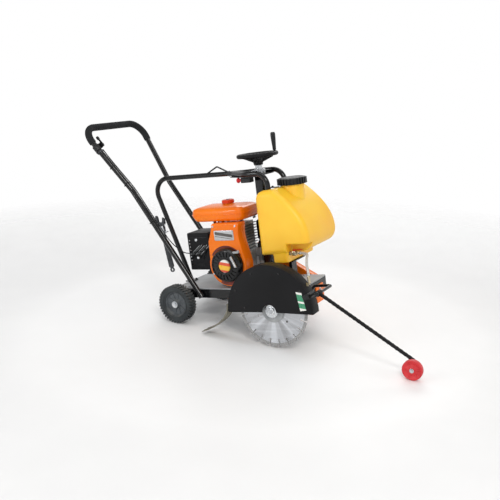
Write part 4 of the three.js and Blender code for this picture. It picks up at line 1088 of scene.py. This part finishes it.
def make_tank():
    back, front, half = TANK["back"], TANK["front"], TANK["half"]
    bottom, top = TANK["bottom"], TANK["top"]
    side = [(back, bottom), (front - 56, bottom + 10)]
    side += quadratic((front - 56, bottom + 10), (front, bottom + 22), (front, bottom + 84))[1:]
    side += cubic((front, bottom + 84), (front - 4, 392), (690, 462), (590, top))[1:]
    side += [(540, top)]
    side += quadratic((540, top), (back, top), (back, 490))[1:]
    body = plate([side], -half, half, "Y", 28, 6)
    sump = plate([rounded(548, 628, -160, 128, 16)], TANK["sump"], 270, "Z", 3, 2)
    fork = block((back - 20, -FORK_Y - 24, 180), (546, FORK_Y + 24, 620))
    tap = block((628, -half - 10, 180), (front + 20, -112, 284))
    whole = carved(fused(body, sump), fork, tap)
    soft = remoulded(whole, 3.6, 7)
    x = TANK["neck"]
    neck = turned([(50, top - 70), (56, top - 70), (56, top + 22), (55, top + 24), (50, top + 24)],
                  (x, 0, 0), Z, 72)
    collar = turned([(50, top + 2), (57.4, top + 2), (57.4, top + 5), (50, top + 5)], (x, 0, 0), Z, 72)
    instead("water_tank", merged(soft, neck, collar), YELLOW, 0.0, 60.0)

    body = turned([(0, top + 40), (60, top + 40), (65, top + 38.5), (66.5, top + 34), (66.5, top + 9),
                   (66, top + 7.3), (57.5, top + 7.3), (57.5, top + 31), (0, top + 31)], (x, 0, 0), Z, 120)
    ribs = [moved(block((64, -4.2, top + 8), (71.9, 4.2, top + 36.5)),
                  Matrix.Translation((x, 0, 0)) @ Matrix.Rotation(TAU * i / 28, 4, "Z")) for i in range(28)]
    ring = turned([(48, top + 39), (50, top + 41.2), (54, top + 41.2), (56, top + 39)], (x, 0, 0), Z, 96)
    instead("tank_cap", merged(body, *ribs, ring), BLACK_PLASTIC, 0.7)
    dress("tank_bracket", BLACK_GLOSS, 1.0)
    strap = merged(block((FORK_X - 18, -66, top + 0.6), (x - 54, -34, top + 4)),
                   block((FORK_X - 18, -66, top - 14), (FORK_X - 14.5, -34, top + 4)),
                   bolt((FORK_X + 4, -50, top + 4), Z, 10))
    piece("tank_strap", strap, BLACK_GLOSS, ROOT, 0.6)


TAP = Vector((652, -134, 235))


def make_water_feed():
    dress("water_tap", BRASS, 0.5)
    x, y, z = TAP
    lever = merged(turned([(0, 11.3), (6, 11.3), (6, 18), (0, 18)], tuple(TAP), Z, 24),
                   swept(bent([(x - 6, y, z + 17), (x + 16, y, z + 16.4), (x + 24, y, z + 17.2),
                               (x + 44, y, z + 17.2)], 14, 4), 2.2, 14),
                   plate([rounded(x + 14, x + 44, y - 5.6, y + 5.6, 4)], z + 15.3, z + 18.9, "Z", 0.8))
    instead("tap_lever", lever, RED_ORANGE, 0.4)
    nuts = merged(turned([(0, 0), (11, 0), (11, 7), (9.5, 8), (0, 8)], (628.4, y, z), X, 6),
                  turned([(0, 0), (8.5, 0), (8.5, 6), (0, 6)], (x + 11, y, z), X, 6),
                  turned([(6.2, 0), (7.4, 0), (7.4, 4), (6.2, 4)], (x + 27, y, z), X, 24))
    piece("tap_nuts", nuts, BRASS, ROOT, 0.3)
    ix, iy, iz = inlet_at(GUARD_R + 16)
    route = [(x + 25, y, z), (x + 40, y, z), (x + 76, y - 24, z - 1), (ix - 30, iy + 60, iz + 96),
             (ix - 12, iy + 18, iz + 74), (ix, iy, iz + 50), (ix, iy, iz + 35)]
    line = flowing(route, 8)
    hose = instead("water_hose", swept(line, 6, 20), HOSE)
    length = sum((b - a).length for a, b in zip(line, line[1:])) * MM
    world_line = [CHASSIS @ p for p in line]
    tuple(world_line[0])
    clips = merged(turned([(6.1, -2.5), (7.2, -2.5), (7.2, 2.5), (6.1, 2.5)], line[-4], Z, 28),
                   turned([(6.1, -2.5), (7.2, -2.5), (7.2, 2.5), (6.1, 2.5)], line[4], X, 28))
    piece("hose_clips", clips, ZINC, ROOT, 0.2)


# ------------------------------------------------------------------ engine

def make_engine_block():
    dress("crankcase", ALUMINIUM, 1.2)
    dress("cylinder", ALUMINIUM, 0.6)
    dress("carburettor", ALUMINIUM, 1.0)
    dress("air_cleaner", BLACK_PLASTIC, 1.2)
    dress("muffler", DARK_STEEL, 0.8)
    cx = CRANK[0]
    bolts = [bolt((cx + 72 * math.cos(a), 104, 150 + 60 * math.sin(a)), Y, 10) for a in ring_angles(6, 0.5)]
    bolts += [bolt((x, y, 74), Z, 10) for x in (196, 370) for y in (-62, 84)]
    piece("engine_bolts", merged(*bolts), ZINC, ROOT, 0.3)
    ribs = [block((cx + dx - 2, -93.5, 96), (cx + dx + 2, -91, 226)) for dx in (-66, 66)]
    ribs += [block((372.5, y - 2, 90), (376, y + 2, 226)) for y in (-60, -20, 20, 60)]
    ribs += [turned([(0, 0), (13, 0), (13, 9), (10, 11), (0, 11)], (373, 78, 104), X, 24)]
    piece("case_ribs", merged(*ribs), ALUMINIUM, ROOT, 0.8)
    plug = turned([(0, 0), (8, 0), (8, 10), (6, 13), (6, 24), (4.5, 27), (0, 27)],
                  (246, -76, 384), (-0.2, -0.4, 1), 24)
    lead = swept(flowing([(241, -86, 404), (236, -100, 396), (214, -104, 372), (206, -88, 352),
                          (210, -78, 330)], 8), 3.4, 12)
    piece("spark_lead", merged(plug, lead), BLACK_PLASTIC, ROOT, 0.4)


def make_shroud():
    cx, cz = CRANK

    def profile(inset):
        right, left, top = cx + 86 - inset, cx - 71 + inset, 391 - inset
        line = arc(cx, cz, 106 - inset, math.pi * 0.9, math.pi * 2.06, 30)
        line += quadratic((right, 285), (right - 11, 330), (right, top - 13), 6)
        line += quadratic((right, top - 13), (right - 1, top), (right - 10, top), 4)[1:]
        line += quadratic((left + 13, top), (left + 2, top), (left, top - 13), 4)
        line += quadratic((left - 1, 372), (left - 9, 340), (left - 27, 302), 6)
        return line

    outer = plate([profile(0)], -150, -74, "Y", 7, 4)
    inner = plate([profile(4)], -145, -60, "Y", 3, 2)
    mouth = turned([(0, -160), (85, -160), (85, -140), (0, -140)], (cx, 0, cz), Y, 72)
    shell = carved(outer, inner, mouth)
    instead("fan_shroud", shell, ORANGE, 0.6)
    upper, lower = (math.radians(212), math.radians(116)), (math.radians(60), math.radians(60))
    lip = turned([(100, -151.6), (102.5, -152.2), (104.5, -151.6), (104.5, -146), (100, -146)],
                 (cx, 0, cz), Y, 72, *upper)
    # Painted shade: dark red arcs in the recess above and below the recoil cover, where the orange shroud
    # lies in shade.
    recess = [turned([(84, -150.4), (100, -150.4), (100, -146), (84, -146)], (cx, 0, cz), Y, 48, *stretch)
              for stretch in (upper, lower)]
    piece("shroud_recess_shade", merged(*recess), RECESS_SHADE_RED, ROOT, 0.3)
    piece("shroud_lip", lip, ORANGE, ROOT, 0.4)
    screws = [bolt((cx + dx, -150, z), -Y, 6, 3) for dx, z in ((-60, 376), (68, 376))]
    screws += [bolt((cx + 95 * math.cos(a), -150, cz + 95 * math.sin(a)), -Y, 6, 3) for a in (3.6, 5.9)]
    piece("shroud_screws", merged(*screws), ZINC, ROOT, 0.3)
    frame_plate = plate([rounded(cx - 56, cx + 56, 306, 356, 5)], -152.2, -149.8, "Y", 0.8, 2)
    field = plate([rounded(cx - 50, cx + 50, 311, 351, 3)], -152.9, -152, "Y", 0.2, 1)
    piece("shroud_badge_frame", frame_plate, STEEL, ROOT)
    piece("shroud_badge", field, BADGE, ROOT)


def make_recoil():
    cx, cz = CRANK[0] + 5, CRANK[1] + 5
    at = (cx, 0, cz)
    cover = turned([(0, -184), (30, -184), (38, -187.5), (46, -187.5), (47, -184), (70, -182), (71, -187),
                    (76, -185), (82, -176), (86, -166), (86, -150), (86, -144), (74, -144), (74, -168),
                    (66, -178), (30, -178), (0, -178)], at, Y, 96)
    ribs = []
    for i in range(20):
        vane = block((45, -189.5, -2.4), (74, -180, 2.4))
        for vert in vane.verts:
            if vert.co.x > 60:
                vert.co.z += 7
                vert.co.y += 3 if vert.co.y < -187 else 0
        ribs.append(shifted(moved(vane, Matrix.Rotation(-TAU * i / 20, 4, "Y")), cx, 0, cz))
    ring = turned([(35, -187), (36.5, -190), (41, -190), (42.5, -187)], at, Y, 72)
    instead("recoil_cover", merged(cover, ring, *ribs), BLACK_GLOSS, 0.6)
    emblem = turned([(0, -190), (29, -190), (31, -189.4), (33, -184), (0, -184)], at, Y, 56)
    piece("recoil_emblem", emblem, EMBLEM, ROOT, 0.4)
    nuts = [bolt((cx + 80 * math.cos(a), -170, cz + 80 * math.sin(a)), -Y, 7, 4) for a in (1.9, 3.5, 5.3)]
    piece("recoil_screws", merged(*nuts), DARK_STEEL, ROOT, 0.3)
    x, y, z = middle("recoil_handle")
    grip = turned([(0, -30), (4, -30), (6.6, -27), (7, -16), (5.6, 0), (7, 16), (6.6, 27), (4, 30), (0, 30)],
                  (0, 0, 0), Z, 28)
    tee = merged(grip, rod(3, (0, 0, 0), (0, 8, 0), 12))
    moved(tee, Matrix.Translation((x, y, z)) @ Matrix.Rotation(-0.42, 4, "Y"))
    instead("recoil_handle", tee, STEEL, 0.4)
    clip = plate([rounded(cx + 52, cx + 84, cz + 62, cz + 72, 4)], -184, -181, "Y", 0.8)
    piece("recoil_clip", merged(clip, bolt((cx + 82, -178, cz + 70), -Y, 9, 5)), ALUMINIUM, ROOT, 0.3)


def make_fuel_tank():
    low, high = span("fuel_tank")
    x0, x1, y0, y1 = low.x + 4, high.x - 4, low.y + 4, high.y - 4
    cap_low, cap_high = span("fuel_cap")
    fx, fy = (cap_low.x + cap_high.x) / 2, (cap_low.y + cap_high.y) / 2
    base, top = low.z, high.z
    levels = [(18, 0), (10, 1.5), (5, 6), (2, 14), (0, 26), (0, 33), (-2.6, 33.6), (-3, 35.5), (-2.6, 37.4),
              (0, 38), (0, 50), (1.5, 56), (5, 61), (10, 64.6), (18, 67.6), (32, 70.8), (52, 74),
              (74, 76.5), (88, 77.4)]
    bm = bmesh.new()
    rings = []
    for inset, height in levels:
        lean = 0.42 * max(0, 26 - height)
        loop = rounded(x0 + inset, x1 - inset, y0 + inset, y1 - inset, max(6, 34 - 0.6 * max(0, inset)), 10)
        rings.append([bm.verts.new((u + lean * (x1 - u) / (x1 - x0), v, base + height)) for u, v in loop])
    bridge(bm, rings)
    bm.faces.new(rings[0])
    bm.faces.new(rings[-1])
    bmesh.ops.recalc_face_normals(bm, faces=bm.faces)
    crown = base + 77
    neck = turned([(19, crown - 8), (27, crown - 8), (24.5, crown - 1), (24.5, top - 0.3), (19, top - 0.3)],
                  (fx, fy, 0), Z, 48)
    instead("fuel_tank", merged(bm, neck), ORANGE, 0.0, 50.0)
    cap = turned([(25.5, crown + 2.5), (30.5, crown + 2.5), (31.4, crown + 6), (31, crown + 16),
                  (28, crown + 19), (20, crown + 20), (17, crown + 18.6), (0, crown + 18.6),
                  (0, crown + 14.4), (25.5, crown + 14)], (fx, fy, 0), Z, 56)
    lugs = []
    for i in range(6):
        lug = turned([(0, crown + 4), (6.5, crown + 4), (6.5, crown + 15), (4, crown + 17), (0, crown + 17)],
                     (27, 0, 0), Z, 16)
        lugs.append(moved(lug, Matrix.Translation((fx, fy, 0)) @ Matrix.Rotation(i * math.pi / 3, 4, "Z")))
    instead("fuel_cap", merged(cap, *lugs), RED_ORANGE, 0.8)
    # Painted shade: a black disc on the cap's top that stands for the dark shade seen between its lugs.
    cap_shade_insert = turned([(0, crown + 18), (9, crown + 18), (9, crown + 20.4), (7, crown + 21), (0, crown + 21)],
                  (fx, fy, 0), Z, 32)
    piece("fuel_cap_shade_insert", cap_shade_insert, BLACK_PLASTIC, BODY_OF["fuel_cap"], 0.3)
    brackets = [block((x, y - 12, base - 12), (x + 3, y + 12, base + 2))
                for x in (206, 362) for y in (-96, 30)]
    piece("tank_feet", merged(*brackets), DARK_STEEL, ROOT, 0.4)


def make_muffler_guard():
    low, high = span("muffler_guard")
    dress("muffler_guard", BLACK_MATT, 1.0)
    y = low.y
    slats, slits = [], []
    for i in range(5):
        place = Matrix.Translation((78 + i * 15, 0, 250 + 3 * (i % 2))) @ Matrix.Rotation(0.9, 4, "Y")
        slats.append(moved(block((-1, y - 3.2, -40), (4, y + 0.6, 40)), place))
        slits.append(moved(block((-4, y - 0.5, -38), (-1, y + 0.3, 38)), place))
    slats.append(block((low.x + 44, y - 2.4, 178), (low.x + 92, y + 0.6, 181)))
    slats.append(block((low.x + 44, y - 2.4, 168), (low.x + 92, y + 0.6, 171)))
    slats.append(block((low.x + 10, y - 1.6, high.z - 26), (high.x - 10, y + 0.6, high.z - 22)))
    piece("guard_louvres", merged(*slats), BLACK_GLOSS, ROOT, 0.6)
    piece("guard_slits", merged(*slits), ALUMINIUM, ROOT)
    rivets = [turned([(0, 0), (3.4, 0), (2.6, 1.4), (0, 2)], (47, y, 302 - 17 * i), -Y, 16) for i in range(7)]
    piece("muffler_rivets", merged(*rivets), ZINC, ROOT)
    screws = [turned([(0, 0), (7.6, 0), (7.6, 1.6), (5.4, 3.4), (0, 4)], (88, y, z), -Y, 28)
              for z in (304, 212)]
    piece("muffler_screws", merged(*screws), ZINC, ROOT, 0.3)
    outlet = turned([(7, 0), (10, 0), (10, 22), (7, 22)], (low.x + 6, -60, 190), (-1, 0, -0.2), 28)
    piece("muffler_outlet", outlet, DARK_STEEL, ROOT, 0.3)


# ------------------------------------------------------------------ front rail, pilot, wrench

PIVOT = Vector((823, 0, 82))
PILOT = Vector((1222, -272, -247))


def make_front_rail():
    start, r = 668.3, 7
    x, z = PIVOT.x, PIVOT.z
    rail = swept(bent([(start + 3, -134, 44), (708, -134, 47), (740, -134, 78), (x, -134, z - 1),
                       (x, -290, z)], 14, 9), r, 24)
    outer = [(6.9, -297), (10, -297), (11, -296), (11, -290), (10, -289), (6.9, -289)]
    collars = merged(turned(outer, (x, 0, z), Y, 32),
                     turned([(6.9, -257), (11, -257), (11, -252), (6.9, -252)], (x, 0, z), Y, 32),
                     disc(7, -297.4, -289, (x, 0, z), Y, 24))
    foot = merged(block((start, -148, -14), (start + 6, -96, 60)),
                  weld_bead((start + 6, -134, 44), X, r, 2.4))
    instead("front_handle", merged(rail, collars, foot), BLACK_GLOSS, 0.5)
    tab = plate([[(12, -50), (90, -50), (96, -40), (96, 34), (88, 38), (12, 38)]], start, start + 5, "X", 0.8)
    piece("front_tab", tab, ORANGE, ROOT, 0.4)
    bolts = [bolt((start + 6, y, -2), X, 10) for y in (-140, -104)] + [bolt((start + 5, 54, 12), X, 10)]
    piece("front_bolts", merged(*bolts), ZINC, ROOT, 0.3)


def make_pilot():
    low_z = PILOT.z + 34
    lug_y = PILOT.y + 22
    start = Vector((PIVOT.x, PILOT.y, PIVOT.z))
    end = Vector((PILOT.x + 2, lug_y, low_z))
    along = (end - start).normalized()
    first = start + along * 10
    length = (end - first).length
    rings = 330
    line = [first + along * length * i / rings for i in range(rings + 1)]

    def ribbed(share):
        wave = math.sin(share * length * TAU / 22.0)
        return 7.9 + 0.9 * max(0.0, wave) ** 0.6

    bar = swept(line, ribbed, 16)
    hub = turned([(7.4, -287), (13, -287), (14, -286), (14, -260), (13, -259), (7.4, -259)],
                 (PIVOT.x, 0, PIVOT.z), Y, 40)
    lug = plate([arc(PILOT.x, PILOT.z, 11, math.pi, TAU, 12)
                 + [(PILOT.x + 9, PILOT.z + 38), (PILOT.x - 7, PILOT.z + 38)]],
                lug_y - 3, lug_y + 3, "Y", 0.5, 1)
    pin = rod(5, (PILOT.x, PILOT.y - 17, PILOT.z), (PILOT.x, lug_y, PILOT.z), 24)
    instead("pilot_arm", merged(bar, hub, lug, pin), BLACK_MATT, 0.4)
    y, hub_at = PILOT.y, (PILOT.x, 0, PILOT.z)
    head = merged(turned([(0, y - 20), (6.4, y - 20), (6.8, y - 19), (6.8, y - 15.6), (0, y - 15.6)],
                         hub_at, Y, 6),
                  turned([(5.1, y - 15.4), (10, y - 15.4), (10, y - 14.3), (5.1, y - 14.3)], hub_at, Y, 32))
    piece("pilot_bolt", head, ZINC, BODY_OF["pilot_arm"], 0.3)
    half = [(5.8, 14), (13, 14), (15, 11), (26, 7), (38, 10), (41, 13), (44, 11.5), (45, 8)]
    wheel = turned([(r, y - w) for r, w in half] + [(r, y + w) for r, w in reversed(half)], hub_at, Y, 80)
    ribs = []
    for i in range(6):
        for s in (-1, 1):
            web = block((14, y + s * 8 - 3, -1.8), (40, y + s * 8 + 3, 1.8))
            ribs.append(shifted(moved(web, Matrix.Rotation(TAU * i / 6, 4, "Y")), *hub_at))
    instead("pilot_wheel", merged(wheel, *ribs), RED, 0.5)


def make_wrench():
    dress("wrench_jaw", DARK_STEEL, 0.8)
    x, y, z, lean = -184, -22, 350, math.radians(-8)
    place = Matrix.Translation((x, y, z)) @ Matrix.Rotation(lean, 4, "Y")
    edge = [(14, 24), (14, 0), (13, -60), (15, -176), (16, -204), (8, -214)]
    shank = plate([[(-u, v) for u, v in edge] + edge[::-1]], -4.6, 4.6, "Y", 1.8, 3)
    hollow = [plate([[(-5, -30), (5, -30), (4.5, -160), (-4.5, -160)]], y0, y0 + 2, "Y")
              for y0 in (-5.6, 3.6)]
    ring = turned([(6.5, -4), (13, -4), (13, 4), (6.5, 4)], (0, 0, -224), Y, 40)
    head = plate([[(-16, 6), (16, 12), (32, 32), (15, 42), (10, 35), (-10, 42), (-9, 66), (-13, 76),
                   (-19, 78), (-30, 48), (-25, 20)]], -8, 8, "Y", 2, 3)
    instead("wrench_body", moved(merged(carved(shank, *hollow), ring, head), place), DARK_STEEL, 0.5)
    knurl = turned([(0, -7), (5.4, -7)] + [(5.4 if k % 2 else 4.6, -7 + k * 1.4) for k in range(1, 10)]
                   + [(5.4, 7), (0, 7)], (22, 0, 27), (0.5, 0, -0.86), 20)
    piece("wrench_screw", moved(knurl, place), ZINC, BODY_OF["wrench_jaw"])
    sleeve = carved(block((-17, -9, -24), (17, 9, 18)), block((-12.4, -4.6, -30), (14.8, 4.6, 30)),
                    block((-14, -8.5, 2), (30, 8.5, 30)))
    strap = block((14, -4, -20), (34, 4, -14))
    piece("wrench_clip", moved(merged(sleeve, strap), place), STEEL, ROOT, 0.5)


# ------------------------------------------------------------------ floor and assembly

def make_floor():
    """A pale round floor that fades into the background at its rim."""
    floor = show(turned([(0, -2), (6000, -2), (6000, -1), (0, -1)], sides=96), "floor")
    floor.scale = (MM, MM, MM)
    r = Recipe("floor")
    tone = r.blend(r.ramp(r.noise(0.004), 0.3, 0.7), (0.95, 0.95, 0.95, 1), (0.97, 0.97, 0.97, 1))
    r.use("Base Color", tone)
    r.use("Roughness", r.ramp(r.noise(0.02), 0.3, 0.7, 0.5, 0.65))
    distance = r.node("VectorMath", {0: r.place}, operation="LENGTH").outputs["Value"]
    r.use("Alpha", r.ramp(distance, 1100, 3600, 1.0, 0.0))
    floor.data.materials.append(r.material)


make_camera()
make_light()
make_water_feed()
make_chassis()
make_rear_wheels()
make_handlebar()
make_throttle()
make_hoop()
make_depth_gear()
make_front_wheels()
make_arbor()
make_blade()
make_drive()
make_guard()
make_inlet()
make_flap()
make_tank()
make_engine_block()
make_shroud()
make_recoil()
make_fuel_tank()
make_muffler_guard()
make_front_rail()
make_pilot()
make_wrench()
make_floor()
